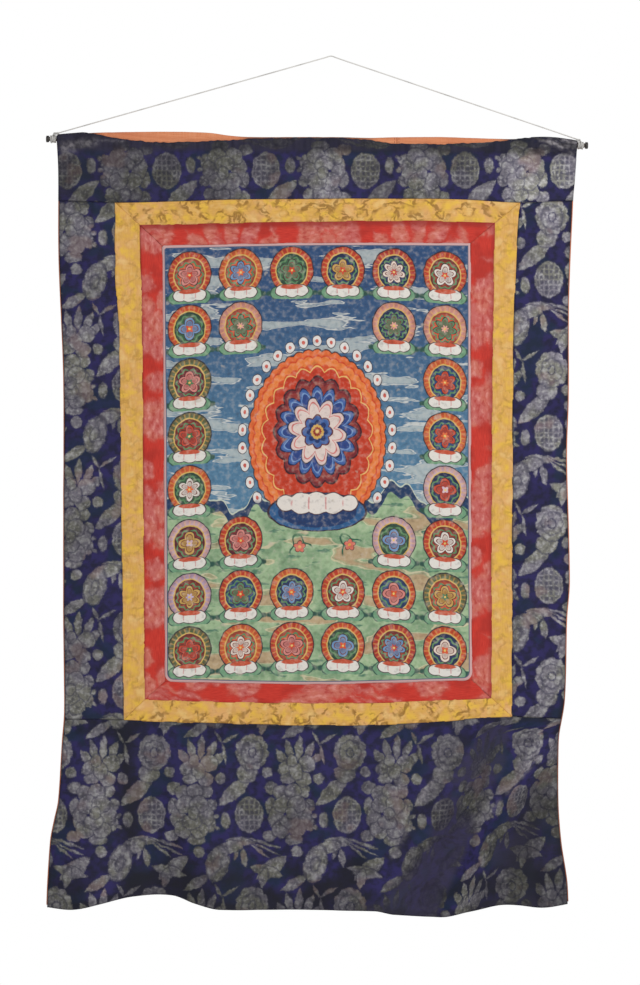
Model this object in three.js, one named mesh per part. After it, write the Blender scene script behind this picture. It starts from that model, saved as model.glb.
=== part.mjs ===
// A thangka scroll: a painted canvas edged with two rows of mitred silk strips, sewn into a
// brocade mount, lined at the back, and hung by one cord from a round rod in its top sleeve.
// Millimetres, +X to the right, +Z up, and the front faces -Y.
// The origin is where the cord crosses the nail that it hangs from.

import * as THREE from 'three';

// ---------------------------------------------------------------- driving dimensions

// Cloth thicknesses, and the clearances between sewn pieces.
const canvasThickness = 1.2;
const silkThickness = 1.0;
const brocadeThickness = 1.4;
const liningThickness = 1.0;
const seamGap = 0.5;
const liningGap = 1.2;
const sleeveSlack = 0.6;

// The lining reaches this far past the brocade at both sides, and stops short of the hem.
const liningShow = 1.5;
const liningShort = 3;

// The rod tilts a little, lower at its right end.
const rodDiameter = 6.5;
const rodLeftEnd = { x: -394, z: -116.2 };
const rodRightEnd = { x: 355, z: -125.3 };
const rodGap = 0.3;
const rodSides = 16;
const capDiameter = 9.5;
const capLength = 4.5;

// The cord, and the turns that it takes round each end of the rod.
const cordDiameter = 1.8;
const cordSides = 8;
const cordSteps = 72;
const lashingTurns = 4;
const leftLashingX = -389;
const rightLashingX = 349.3;

// Heights along the sleeve, measured from the rod's axis, which the cloth layers share.
const sleeveLevels = [-46, -35, -24, -16, -9, -5];
const sleeveOpens = -34;
const crownSteps = 5;

// Where the brocade wraps the sleeve, it ends just short of the crown's back.
const wrapAngle = THREE.MathUtils.degToRad(80);

// Rough levels of the rod, the two seams and the hem, for finding x on a slanting edge.
const rodLevel = -120;
const topSeamLevel = -203;
const bottomSeamLevel = -930;
const hemLevel = -1190;

// How finely the cloth is divided. Sheets that lie on each other share these divisions.
const clothColumns = 32;
const topRows = 2;
const frameRows = 16;
const lowerRows = 10;

const rodRadius = rodDiameter / 2;
const lowestCrown = rodRadius + rodGap + liningThickness;

// ---------------------------------------------------------------- lines across the cloth

// A smooth line through rows that share two named columns, as a function of the first column.
function smoothLine(rows, from, to) {
  const sorted = [...rows].sort((a, b) => a[from] - b[from]);
  const slope = (i) => {
    const before = sorted[Math.max(i - 1, 0)];
    const after = sorted[Math.min(i + 1, sorted.length - 1)];
    return (after[to] - before[to]) / (after[from] - before[from]);
  };
  return (at) => {
    const t = Math.min(Math.max(at, sorted[0][from]), sorted.at(-1)[from]);
    const next = sorted.findIndex((row) => row[from] > t);
    const i = (next === -1 ? sorted.length - 1 : next) - 1;
    const [a, b] = [sorted[i], sorted[i + 1]];
    const span = b[from] - a[from];
    const s = (t - a[from]) / span;
    const [s2, s3] = [s * s, s * s * s];
    return (2 * s3 - 3 * s2 + 1) * a[to] + (s3 - 2 * s2 + s) * span * slope(i)
      + (3 * s2 - 2 * s3) * b[to] + (s3 - s2) * span * slope(i + 1);
  };
}

// Plumb lines give x at each level z.
const clothLeft = smoothLine([
  { z: -110, x: -384 },
  { z: -160, x: -382 },
  { z: -285, x: -381.5 },
  { z: -370, x: -378 },
  { z: -454, x: -375 },
  { z: -762, x: -375 },
  { z: -920, x: -374 },
  { z: -958, x: -377 },
  { z: -1042, x: -382 },
  { z: -1070, x: -388 },
  { z: -1098, x: -393.5 },
  { z: -1154, x: -397.5 },
  { z: -1195, x: -399 },
], 'z', 'x');
const clothRight = smoothLine([
  { z: -110, x: 345 },
  { z: -174, x: 341.5 },
  { z: -202, x: 339 },
  { z: -342, x: 333.5 },
  { z: -482, x: 333 },
  { z: -566, x: 330.5 },
  { z: -734, x: 334.5 },
  { z: -790, x: 330.5 },
  { z: -902, x: 327.5 },
  { z: -958, x: 319 },
  { z: -1042, x: 318 },
  { z: -1098, x: 322 },
  { z: -1154, x: 330.5 },
  { z: -1195, x: 332.5 },
], 'z', 'x');
const yellowLeft = smoothLine([
  { z: -206, x: -302 },
  { z: -315, x: -301.5 },
  { z: -370, x: -297 },
  { z: -566, x: -294 },
  { z: -845, x: -291 },
  { z: -931, x: -290.5 },
], 'z', 'x');
const yellowRight = smoothLine([
  { z: -206, x: 264 },
  { z: -286, x: 259 },
  { z: -426, x: 255 },
  { z: -762, x: 253.5 },
  { z: -925, x: 253 },
], 'z', 'x');
const redLeft = smoothLine([
  { z: -237, x: -267.5 },
  { z: -412, x: -264 },
  { z: -900, x: -261 },
], 'z', 'x');
const redRight = smoothLine([
  { z: -234, x: 229 },
  { z: -500, x: 225.5 },
  { z: -899, x: 224.5 },
], 'z', 'x');
const canvasLeft = smoothLine([
  { z: -266, x: -236.5 },
  { z: -560, x: -234 },
  { z: -876, x: -232.5 },
], 'z', 'x');
const canvasRight = smoothLine([
  { z: -262, x: 195.5 },
  { z: -560, x: 196 },
  { z: -874, x: 197.5 },
], 'z', 'x');

// Level lines give z at each x. The two seams run from edge to edge, along the frame.
const topSeam = smoothLine([
  { x: -384, z: -203 },
  { x: -302, z: -206 },
  { x: -226, z: -204.5 },
  { x: -141, z: -202 },
  { x: 54, z: -200.5 },
  { x: 180, z: -201.5 },
  { x: 264, z: -206 },
  { x: 342, z: -203 },
], 'x', 'z');
const bottomSeam = smoothLine([
  { x: -376, z: -928 },
  { x: -290, z: -930 },
  { x: -205, z: -933 },
  { x: -60, z: -936.5 },
  { x: 54, z: -936.5 },
  { x: 140, z: -933 },
  { x: 208, z: -927 },
  { x: 253, z: -925 },
  { x: 325, z: -928 },
], 'x', 'z');
const redTop = smoothLine([
  { x: -267, z: -237 },
  { x: -70, z: -233 },
  { x: 100, z: -231 },
  { x: 229, z: -234 },
], 'x', 'z');
const redBottom = smoothLine([
  { x: -261, z: -901 },
  { x: -120, z: -905 },
  { x: 60, z: -905.5 },
  { x: 225, z: -899 },
], 'x', 'z');
const canvasTop = smoothLine([
  { x: -236, z: -265.5 },
  { x: -20, z: -261.5 },
  { x: 196, z: -262 },
], 'x', 'z');
const canvasBottom = smoothLine([
  { x: -233, z: -876 },
  { x: -20, z: -879.5 },
  { x: 197, z: -874 },
], 'x', 'z');
const hem = smoothLine([
  { x: -400, z: -1191.5 },
  { x: -363, z: -1194.5 },
  { x: -323, z: -1187 },
  { x: -279, z: -1177.5 },
  { x: -223, z: -1176 },
  { x: -190, z: -1187 },
  { x: -155, z: -1194.5 },
  { x: 60, z: -1195 },
  { x: 88, z: -1201 },
  { x: 152, z: -1205 },
  { x: 192, z: -1197 },
  { x: 242, z: -1188 },
  { x: 293, z: -1191.5 },
  { x: 333, z: -1186 },
], 'x', 'z');

// The sleeve: how high the lining's crown stands over the rod's axis, and how high the
// brocade's top edge reaches. Where the brocade's row is the higher one, it wraps the crown.
const sleeveRows = [
  { x: -385, crown: 4.6, brocade: 12 },
  { x: -363, crown: 7, brocade: 14 },
  { x: -346, crown: 8.5, brocade: 10 },
  { x: -323, crown: 9.9, brocade: 5.5 },
  { x: -279, crown: 11.2, brocade: -1 },
  { x: -245, crown: 12, brocade: -3.3 },
  { x: -197, crown: 12.2, brocade: -2.4 },
  { x: -166, crown: 11, brocade: -0.4 },
  { x: -144, crown: 8, brocade: 0.4 },
  { x: -113, crown: 6.2, brocade: 3 },
  { x: -43, crown: 7, brocade: 5 },
  { x: 12, crown: 7.5, brocade: 5.4 },
  { x: 55, crown: 7, brocade: 3 },
  { x: 80, crown: 8, brocade: -0.6 },
  { x: 152, crown: 9.4, brocade: -1.2 },
  { x: 195, crown: 8.6, brocade: 0.8 },
  { x: 236, crown: 7.8, brocade: 3.5 },
  { x: 253, crown: 7.8, brocade: 6.5 },
  { x: 276, crown: 8.8, brocade: 9.5 },
  { x: 300, crown: 9.8, brocade: 14 },
  { x: 321, crown: 8.6, brocade: 14 },
  { x: 346, crown: 4.6, brocade: 12 },
];
const crownLine = smoothLine(sleeveRows, 'x', 'crown');
const brocadeTopLine = smoothLine(sleeveRows, 'x', 'brocade');
const crown = (x) => Math.max(crownLine(x), lowestCrown);

// ---------------------------------------------------------------- how the cloth hangs

// Folds run along a crest from (x0, z0) to (x1, z1), with a width to each side of it.
// Height is how far the crest stands to the front. Fade is the length over which it grows
// from its first end, and last is the share of the height that is left at its other end.
const folds = [
  { x0: 176, z0: -988, x1: 62, z1: -1180, left: 95, right: 70, height: 17, fade: 80, last: 1 },
  { x0: 306, z0: -958, x1: 186, z1: -1180, left: 34, right: 85, height: 11, fade: 60, last: 1 },
  { x0: -352, z0: -1010, x1: -345, z1: -1190, left: 60, right: 60, height: 9, fade: 150, last: 1 },
  { x0: -262, z0: -1040, x1: -240, z1: -1190, left: 60, right: 60, height: -6, fade: 130, last: 1 },
  { x0: -195, z0: -1030, x1: -150, z1: -1190, left: 55, right: 70, height: 8, fade: 130, last: 1 },
  { x0: -40, z0: -960, x1: -20, z1: -1190, left: 80, right: 90, height: 4, fade: 120, last: 1 },
  { x0: 325, z0: -1040, x1: 312, z1: -1190, left: 50, right: 50, height: 8, fade: 120, last: 1 },
  { x0: -120, z0: -165, x1: -116, z1: -255, left: 70, right: 80, height: 4, fade: 40, last: 0 },
  { x0: 30, z0: -165, x1: 34, z1: -255, left: 65, right: 55, height: 4, fade: 40, last: 0 },
  { x0: 155, z0: -165, x1: 160, z1: -250, left: 60, right: 50, height: 3.5, fade: 40, last: 0 },
  { x0: 300, z0: -170, x1: 304, z1: -380, left: 80, right: 70, height: 4, fade: 50, last: 0 },
  { x0: -340, z0: -170, x1: -345, z1: -460, left: 70, right: 70, height: 3, fade: 60, last: 0 },
  { x0: -345, z0: -560, x1: -340, z1: -930, left: 70, right: 70, height: 3, fade: 140, last: 0.4 },
  { x0: 306, z0: -560, x1: 302, z1: -930, left: 70, right: 70, height: 3, fade: 140, last: 0.6 },
];

// Memory of the roll: shallow level waves in the stiff canvas.
const rollWave = { length: 205, height: 1.2 };

// Below the frame the lighter cloth falls back a little.
const belowFrame = { step: 3, over: 28 };

const smooth = (value, low, high) => THREE.MathUtils.smoothstep(value, low, high);
const rodSlope = (rodRightEnd.z - rodLeftEnd.z) / (rodRightEnd.x - rodLeftEnd.x);
const rodAxis = (x) => rodLeftEnd.z + (x - rodLeftEnd.x) * rodSlope;

function foldHeight(fold, x, z) {
  const length = Math.hypot(fold.x1 - fold.x0, fold.z1 - fold.z0);
  const along = new THREE.Vector2(fold.x1 - fold.x0, fold.z1 - fold.z0).divideScalar(length);
  const [dx, dz] = [x - fold.x0, z - fold.z0];
  const travelled = dx * along.x + dz * along.y;
  const across = dz * along.x - dx * along.y;
  const width = across < 0 ? fold.left : fold.right;
  const profile = Math.cos(Math.min(Math.abs(across) / width, 1) * Math.PI / 2) ** 2;
  const grown = smooth(travelled, -fold.fade / 2, fold.fade / 2);
  const kept = THREE.MathUtils.lerp(1, fold.last, smooth(travelled, length / 2, length));
  return fold.height * profile * grown * kept;
}

// How far the cloth stands to the front of the plumb plane through the rod.
function drape(x, z) {
  const free = smooth(rodAxis(x) - z, -sleeveLevels[0], -sleeveLevels[0] + 60);
  const waves = rollWave.height * Math.cos((z / rollWave.length) * 2 * Math.PI);
  const back = belowFrame.step * smooth(bottomSeam(x) - z, -2, belowFrame.over);
  return free * (folds.reduce((sum, fold) => sum + foldHeight(fold, x, z), waves) - back);
}

// The sleeve's half opening and the extra layer in front of it, at a height over the axis.
const halfOpening = (h) => THREE.MathUtils.lerp(liningGap / 2, rodRadius + rodGap, smooth(h, sleeveOpens, 0));
const frontLeg = (h) => (liningThickness + sleeveSlack) * smooth(h, sleeveLevels[0], sleeveLevels[2] - 2);

// ---------------------------------------------------------------- solids from sheets

// A closed solid from a grid of middle points: each point moves half the thickness to both
// sides along the surface's own normal, and the two skins are joined round the rim.
function sheetSolid(grid, thickness) {
  const [lastColumn, lastRow] = [grid.length - 1, grid[0].length - 1];
  const skins = [[], []];
  const index = (skin, i, j) => (skin * (lastColumn + 1) + i) * (lastRow + 1) + j;
  grid.forEach((column, i) => column.forEach((point, j) => {
    const across = grid[Math.min(i + 1, lastColumn)][j].clone().sub(grid[Math.max(i - 1, 0)][j]);
    const down = column[Math.min(j + 1, lastRow)].clone().sub(column[Math.max(j - 1, 0)]);
    const offset = across.cross(down).setLength(thickness / 2);
    skins[0].push(point.clone().add(offset));
    skins[1].push(point.clone().sub(offset));
  }));
  const faces = [];
  for (let i = 0; i < lastColumn; i += 1) {
    for (let j = 0; j < lastRow; j += 1) {
      const corners = [[i, j], [i + 1, j], [i + 1, j + 1], [i, j + 1]];
      const [a, b, c, d] = corners.map(([m, n]) => index(0, m, n));
      const [e, f, g, h] = corners.map(([m, n]) => index(1, m, n));
      faces.push(a, b, c, a, c, d, e, g, f, e, h, g);
    }
  }
  const rim = [];
  for (let i = 0; i < lastColumn; i += 1) rim.push([i, 0]);
  for (let j = 0; j < lastRow; j += 1) rim.push([lastColumn, j]);
  for (let i = lastColumn; i > 0; i -= 1) rim.push([i, lastRow]);
  for (let j = lastRow; j > 0; j -= 1) rim.push([0, j]);
  rim.forEach(([i, j], k) => {
    const [m, n] = rim[(k + 1) % rim.length];
    faces.push(index(0, m, n), index(0, i, j), index(1, i, j));
    faces.push(index(0, m, n), index(1, i, j), index(1, m, n));
  });
  const geometry = new THREE.BufferGeometry().setFromPoints([...skins[0], ...skins[1]]);
  geometry.setIndex(faces);
  geometry.computeVertexNormals();
  return geometry;
}

// Where a plumb line and a level line cross.
function crossing(plumb, level) {
  let z = level(plumb(rodLevel));
  for (let step = 0; step < 8; step += 1) z = level(plumb(z));
  return { x: plumb(z), z };
}

// Edges of a piece, as functions of a share from 0 to 1 between two corners.
const between = (a, b, share) => a + (b - a) * share;
const alongLevel = (level, from, to) => (share) => {
  const x = between(from.x, to.x, share);
  return { x, z: level(x) };
};
const alongPlumb = (plumb, from, to) => (share) => {
  const z = between(from.z, to.z, share);
  return { x: plumb(z), z };
};
const straight = (from, to) => (share) => (
  { x: between(from.x, to.x, share), z: between(from.z, to.z, share) }
);

// A point inside four edges: the two blends of facing edges, less the blend of the corners.
function insidePoint(edges, u, v) {
  const at = (axis) => {
    const levels = between(edges.top(u)[axis], edges.bottom(u)[axis], v);
    const plumbs = between(edges.left(v)[axis], edges.right(v)[axis], u);
    const top = between(edges.top(0)[axis], edges.top(1)[axis], u);
    const bottom = between(edges.bottom(0)[axis], edges.bottom(1)[axis], u);
    return levels + plumbs - between(top, bottom, v);
  };
  return { x: at('x'), z: at('z') };
}

// A flat-hung piece inside four edges, half a seam gap short of each, on the cloth's folds.
function hungPiece(edges, columns, rows, thickness) {
  const apart = (a, b) => Math.hypot(a.x - b.x, a.z - b.z);
  const height = apart(insidePoint(edges, 0.5, 0), insidePoint(edges, 0.5, 1));
  const width = apart(insidePoint(edges, 0, 0.5), insidePoint(edges, 1, 0.5));
  const inset = (share, size) => between(seamGap / 2 / size, 1 - seamGap / 2 / size, share);
  const grid = Array.from({ length: columns + 1 }, (_, i) => (
    Array.from({ length: rows + 1 }, (__, j) => {
      const { x, z } = insidePoint(edges, inset(i / columns, width), inset(j / rows, height));
      return new THREE.Vector3(x, -drape(x, z) - (liningGap + thickness) / 2, z);
    })
  ));
  return sheetSolid(grid, thickness);
}

// ---------------------------------------------------------------- materials

const cloth = (color, roughness) => new THREE.MeshStandardMaterial({ color, roughness, metalness: 0 });
const materials = {
  canvas: () => cloth(0x6f8492, 0.85),
  red: () => cloth(0xc0483a, 0.6),
  yellow: () => cloth(0xd8a650, 0.55),
  brocade: () => cloth(0x3b3c56, 0.6),
  lining: () => cloth(0xd8805c, 0.85),
  rod: () => new THREE.MeshStandardMaterial({ color: 0x6b6058, roughness: 0.6, metalness: 0 }),
  cap: () => new THREE.MeshStandardMaterial({ color: 0x2b2724, roughness: 0.5, metalness: 0 }),
  cord: () => cloth(0xcfcdc8, 0.8),
};

const scroll = new THREE.Group();

function addPiece(name, geometry, material) {
  const mesh = new THREE.Mesh(geometry, material);
  mesh.name = name;
  scroll.add(mesh);
  return mesh;
}

// ---------------------------------------------------------------- painted canvas and silk strips

// Three nested frames of lines, from the outside in.
const frames = [
  { left: yellowLeft, right: yellowRight, top: topSeam, bottom: bottomSeam },
  { left: redLeft, right: redRight, top: redTop, bottom: redBottom },
  { left: canvasLeft, right: canvasRight, top: canvasTop, bottom: canvasBottom },
];

function cornersOf(frame) {
  return {
    topLeft: crossing(frame.left, frame.top),
    topRight: crossing(frame.right, frame.top),
    bottomLeft: crossing(frame.left, frame.bottom),
    bottomRight: crossing(frame.right, frame.bottom),
  };
}

function edgesOf(frame) {
  const { topLeft, topRight, bottomLeft, bottomRight } = cornersOf(frame);
  return {
    top: alongLevel(frame.top, topLeft, topRight),
    bottom: alongLevel(frame.bottom, bottomLeft, bottomRight),
    left: alongPlumb(frame.left, topLeft, bottomLeft),
    right: alongPlumb(frame.right, topRight, bottomRight),
  };
}

// Four strips between an outer and an inner frame, mitred from corner to corner.
function addStrips(colour, outerFrame, innerFrame) {
  const [outer, inner] = [edgesOf(outerFrame), edgesOf(innerFrame)];
  const mitres = {
    topLeft: straight(outer.top(0), inner.top(0)),
    topRight: straight(outer.top(1), inner.top(1)),
    bottomLeft: straight(inner.bottom(0), outer.bottom(0)),
    bottomRight: straight(inner.bottom(1), outer.bottom(1)),
  };
  const fromOuter = (mitre, flip) => (share) => mitre(flip ? 1 - share : share);
  const strips = {
    top: [{ top: outer.top, bottom: inner.top, left: mitres.topLeft, right: mitres.topRight }, 14, 2],
    bottom: [{ top: inner.bottom, bottom: outer.bottom, left: mitres.bottomLeft,
      right: mitres.bottomRight }, 18, 2],
    left: [{ left: outer.left, right: inner.left, top: mitres.topLeft,
      bottom: fromOuter(mitres.bottomLeft, true) }, 2, 16],
    right: [{ left: inner.right, right: outer.right, top: fromOuter(mitres.topRight, true),
      bottom: mitres.bottomRight }, 2, 16],
  };
  Object.entries(strips).forEach(([side, [edges, columns, rows]]) => {
    const geometry = hungPiece(edges, columns, rows, silkThickness);
    addPiece(`${colour}_border_${side}`, geometry, materials[colour]());
  });
}

addPiece('painted_canvas', hungPiece(edgesOf(frames[2]), 12, 14, canvasThickness), materials.canvas());
addStrips('red', frames[1], frames[2]);
addStrips('yellow', frames[0], frames[1]);

// ---------------------------------------------------------------- brocade mount

const brocadeLeft = (z) => clothLeft(z) + liningShow;
const brocadeRight = (z) => clothRight(z) - liningShow;

const sidePanels = {
  left: { left: brocadeLeft, right: yellowLeft, top: topSeam, bottom: bottomSeam },
  right: { left: yellowRight, right: brocadeRight, top: topSeam, bottom: bottomSeam },
};
Object.entries(sidePanels).forEach(([side, lines]) => {
  addPiece(`brocade_${side}`, hungPiece(edgesOf(lines), 4, frameRows, brocadeThickness), materials.brocade());
});

const lowerPanel = { left: brocadeLeft, right: brocadeRight, top: bottomSeam, bottom: hem };
addPiece('brocade_bottom', hungPiece(edgesOf(lowerPanel), clothColumns, lowerRows, brocadeThickness),
  materials.brocade());

// The top panel climbs over the sleeve: down to the seam it lies on the cloth's folds, and
// over the rod it follows an oval that stands one layer outside the lining's.
function topPanelColumn(share) {
  const edgeX = (z) => between(brocadeLeft(z), brocadeRight(z), share);
  const axis = rodAxis(edgeX(rodLevel));
  const seam = topSeam(edgeX(topSeamLevel)) + seamGap / 2;
  const point = (x, h) => new THREE.Vector3(
    x,
    -drape(x, axis + h) - halfOpening(h) - frontLeg(h) - brocadeThickness / 2,
    axis + h,
  );
  const flat = Array.from({ length: topRows }, (_, step) => {
    const z = between(seam, axis + sleeveLevels[0], step / topRows);
    return point(edgeX(z), z - axis);
  });
  const lifted = sleeveLevels.map((h) => point(edgeX(axis + h), h));
  const x = edgeX(axis);
  const reach = rodRadius + rodGap + liningThickness + sleeveSlack + brocadeThickness / 2;
  const rise = crown(x) + sleeveSlack + brocadeThickness / 2;
  const topEdge = Math.min(brocadeTopLine(x), rise * Math.sin(wrapAngle));
  const lastTurn = Math.asin(Math.max(topEdge, 0) / rise);
  const wrapped = Array.from({ length: crownSteps + 1 }, (_, step) => {
    const climbed = (step + 1) / (crownSteps + 1);
    if (topEdge <= 0) return point(x, between(sleeveLevels.at(-1), topEdge, climbed));
    const turn = lastTurn * step / crownSteps;
    return new THREE.Vector3(x, -reach * Math.cos(turn), axis + rise * Math.sin(turn));
  });
  return [...flat, ...lifted, ...wrapped].reverse();
}

const topPanelGrid = Array.from({ length: clothColumns + 1 }, (_, i) => topPanelColumn(i / clothColumns));
addPiece('brocade_top', sheetSolid(topPanelGrid, brocadeThickness), materials.brocade());

// ---------------------------------------------------------------- lining with its rod sleeve

// One sheet: up behind the brocade, over the rod, and down the whole back to the hem.
function liningColumn(share) {
  const edgeX = (z) => between(clothLeft(z), clothRight(z), share);
  const axis = rodAxis(edgeX(rodLevel));
  const x = edgeX(axis);
  const half = liningThickness / 2;
  const front = sleeveLevels.slice(2).map((h) => (
    new THREE.Vector3(edgeX(axis + h), -halfOpening(h) - half, axis + h)
  ));
  const over = Array.from({ length: crownSteps * 2 + 1 }, (_, step) => {
    const turn = Math.PI * step / (crownSteps * 2);
    const reach = rodRadius + rodGap + half;
    return new THREE.Vector3(x, -reach * Math.cos(turn), axis + (crown(x) - half) * Math.sin(turn));
  });
  const back = [...sleeveLevels].reverse().map((h) => (
    new THREE.Vector3(edgeX(axis + h), halfOpening(h) + half, axis + h)
  ));
  const levels = [
    { from: axis + sleeveLevels[0], to: topSeam(edgeX(topSeamLevel)), rows: topRows },
    { from: topSeam(edgeX(topSeamLevel)), to: bottomSeam(edgeX(bottomSeamLevel)), rows: frameRows },
    { from: bottomSeam(edgeX(bottomSeamLevel)), to: hem(edgeX(hemLevel)) + liningShort, rows: lowerRows },
  ];
  const body = levels.flatMap(({ from, to, rows }) => Array.from({ length: rows }, (_, step) => {
    const z = between(from, to, (step + 1) / rows);
    return new THREE.Vector3(edgeX(z), liningGap / 2 + half - drape(edgeX(z), z), z);
  }));
  return [...front, ...over, ...back, ...body];
}

const liningGrid = Array.from({ length: clothColumns + 1 }, (_, i) => liningColumn(i / clothColumns));
addPiece('back_lining', sheetSolid(liningGrid, liningThickness), materials.lining());

// ---------------------------------------------------------------- rod and its end caps

const rodLength = Math.hypot(rodRightEnd.x - rodLeftEnd.x, rodRightEnd.z - rodLeftEnd.z);
const rodTilt = Math.atan(rodSlope);

// The rod's own frame: its X runs along the rod from the middle of its length.
const rodFrame = new THREE.Group();
rodFrame.position.set((rodLeftEnd.x + rodRightEnd.x) / 2, 0, (rodLeftEnd.z + rodRightEnd.z) / 2);
rodFrame.rotation.y = -rodTilt;
scroll.add(rodFrame);

// A turned piece lies along the rod when its own axis is turned from Y to X.
function addTurned(name, geometry, material, x) {
  const mesh = addPiece(name, geometry, material);
  rodFrame.add(mesh);
  mesh.rotation.z = -Math.PI / 2;
  mesh.position.x = x;
}

addTurned('hanging_rod', new THREE.CylinderGeometry(rodRadius, rodRadius, rodLength, rodSides),
  materials.rod(), 0);

// Each cap is a little turned disc with rounded rims, face to face with the rod's end.
const capRim = 1.2;
const capProfile = [
  new THREE.Vector2(0, 0),
  new THREE.Vector2(capDiameter / 2 - capRim, 0),
  new THREE.Vector2(capDiameter / 2, capRim),
  new THREE.Vector2(capDiameter / 2, capLength - capRim),
  new THREE.Vector2(capDiameter / 2 - capRim, capLength),
  new THREE.Vector2(0, capLength),
];
addTurned('rod_cap_right', new THREE.LatheGeometry(capProfile, rodSides), materials.cap(),
  rodLength / 2 + rodGap);
addTurned('rod_cap_left', new THREE.LatheGeometry(capProfile, rodSides), materials.cap(),
  -rodLength / 2 - rodGap - capLength);

// ---------------------------------------------------------------- cord and its lashings

// A lashing is a ring of side-by-side turns of the cord, with a hollow between each two.
function lashingProfile() {
  const [inner, middle] = [rodRadius + rodGap, rodRadius + rodGap + cordDiameter / 2];
  const half = lashingTurns * cordDiameter / 2;
  const points = [new THREE.Vector2(inner, -half), new THREE.Vector2(middle, -half)];
  for (let turn = 0; turn < lashingTurns; turn += 1) {
    const centre = -half + (turn + 0.5) * cordDiameter;
    [-60, 0, 60].forEach((degrees) => {
      const angle = THREE.MathUtils.degToRad(degrees);
      points.push(new THREE.Vector2(
        middle + Math.cos(angle) * cordDiameter / 2,
        centre + Math.sin(angle) * cordDiameter / 2,
      ));
    });
  }
  points.push(new THREE.Vector2(middle, half), new THREE.Vector2(inner, half));
  return [...points, points[0].clone()];
}

const alongRod = (x) => (x - rodFrame.position.x) / Math.cos(rodTilt);
[['left', leftLashingX], ['right', rightLashingX]].forEach(([side, x]) => {
  addTurned(`cord_lashing_${side}`, new THREE.LatheGeometry(lashingProfile(), rodSides),
    materials.cord(), alongRod(x));
});

// The cord runs straight from lashing to nail to lashing, and rounds the nail closely.
const cordRoute = [
  { x: -389.0, y: 0, z: -109.75 },
  { x: -377.0, y: 0, z: -106.4 },
  { x: -345.0, y: 0, z: -97.4 },
  { x: -300.0, y: 0, z: -84.7 },
  { x: -250.0, y: 0, z: -70.6 },
  { x: -200.0, y: 0, z: -56.5 },
  { x: -150.0, y: 0, z: -42.4 },
  { x: -100.0, y: 0, z: -28.3 },
  { x: -50.0, y: 0, z: -14.2 },
  { x: -20.0, y: 0, z: -5.7 },
  { x: -8.0, y: 0, z: -2.3 },
  { x: -3.0, y: 0, z: -0.7 },
  { x: 0.0, y: 0, z: -0.2 },
  { x: 3.0, y: 0, z: -0.8 },
  { x: 8.0, y: 0, z: -2.7 },
  { x: 20.0, y: 0, z: -6.8 },
  { x: 50.0, y: 0, z: -16.9 },
  { x: 100.0, y: 0, z: -33.8 },
  { x: 150.0, y: 0, z: -50.7 },
  { x: 200.0, y: 0, z: -67.6 },
  { x: 250.0, y: 0, z: -84.5 },
  { x: 300.0, y: 0, z: -101.4 },
  { x: 335.0, y: 0, z: -113.3 },
  { x: 349.3, y: 0, z: -118.1 },
].map(({ x, y, z }) => new THREE.Vector3(x, y, z));

const cordSection = new THREE.Shape(Array.from({ length: cordSides }, (_, k) => {
  const angle = (k + 0.5) / cordSides * 2 * Math.PI;
  return new THREE.Vector2(Math.cos(angle), Math.sin(angle)).multiplyScalar(cordDiameter / 2);
}));
const cordPath = new THREE.CatmullRomCurve3(cordRoute, false, 'centripetal');
const cordTube = new THREE.ExtrudeGeometry(cordSection, { steps: cordSteps, extrudePath: cordPath });
addPiece('hanging_cord', cordTube, materials.cord());

export default scroll;
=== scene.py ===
# %% [markdown]
# # A thangka scroll, dressed
#
# The solids of the scroll already hang in the scene: a painted canvas, two nested frames of
# silk strips, a brocade mount, a lining that turns over a rod, and a cord. This notebook gives
# each of them its cloth, its pattern and its wear, and paints light and shade on the cloth.
# Every length is in metres, +X is to the right, +Z is up, and the painted side faces -Y. The
# origin is the nail that the cord hangs on.

# %% Load the frame
import math

import bpy
import numpy as np
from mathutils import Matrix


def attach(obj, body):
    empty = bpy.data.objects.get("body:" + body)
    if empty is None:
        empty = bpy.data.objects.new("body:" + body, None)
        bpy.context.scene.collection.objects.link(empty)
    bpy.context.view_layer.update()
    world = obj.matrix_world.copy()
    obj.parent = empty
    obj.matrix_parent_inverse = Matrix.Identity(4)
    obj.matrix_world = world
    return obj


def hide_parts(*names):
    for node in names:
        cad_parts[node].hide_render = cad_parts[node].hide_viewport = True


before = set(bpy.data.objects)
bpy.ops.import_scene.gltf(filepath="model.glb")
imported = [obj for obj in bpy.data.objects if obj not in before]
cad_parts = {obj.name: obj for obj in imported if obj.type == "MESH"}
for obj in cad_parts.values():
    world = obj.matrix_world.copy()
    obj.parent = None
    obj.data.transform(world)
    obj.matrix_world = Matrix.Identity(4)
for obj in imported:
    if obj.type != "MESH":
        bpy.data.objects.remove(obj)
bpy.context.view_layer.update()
print("solids to dress:", len(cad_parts))

# %% [markdown]
# ## Camera and floor
#
# The scroll is seen straight on, from far away, so that its edges stay parallel. A long lens
# does that. Its focal length follows from the height of cloth that fills the frame: the sensor
# is to the lens as that height is to the distance. The floor lies well below the hem, as it
# does under a scroll that hangs at eye level.

# %% Camera
VIEW_HEIGHT = 1.379
VIEW_CENTRE = (-0.0154, -0.6111)
DISTANCE = 4.0
SENSOR = 0.036

camera = bpy.data.objects.new("camera", bpy.data.cameras.new("camera"))
camera.data.sensor_fit = "VERTICAL"
camera.data.sensor_height = SENSOR * 1000
camera.data.lens = SENSOR * 1000 * DISTANCE / VIEW_HEIGHT
camera.data.clip_end = 50
camera.location = (VIEW_CENTRE[0], -DISTANCE, VIEW_CENTRE[1])
camera.rotation_euler = (math.radians(90), 0, 0)
bpy.context.collection.objects.link(camera)
bpy.context.scene.camera = camera
print("lens in millimetres:", round(camera.data.lens, 1))

# %% Floor
FLOOR_LEVEL = -1.75
FLOOR_RADIUS = 1.6

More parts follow.
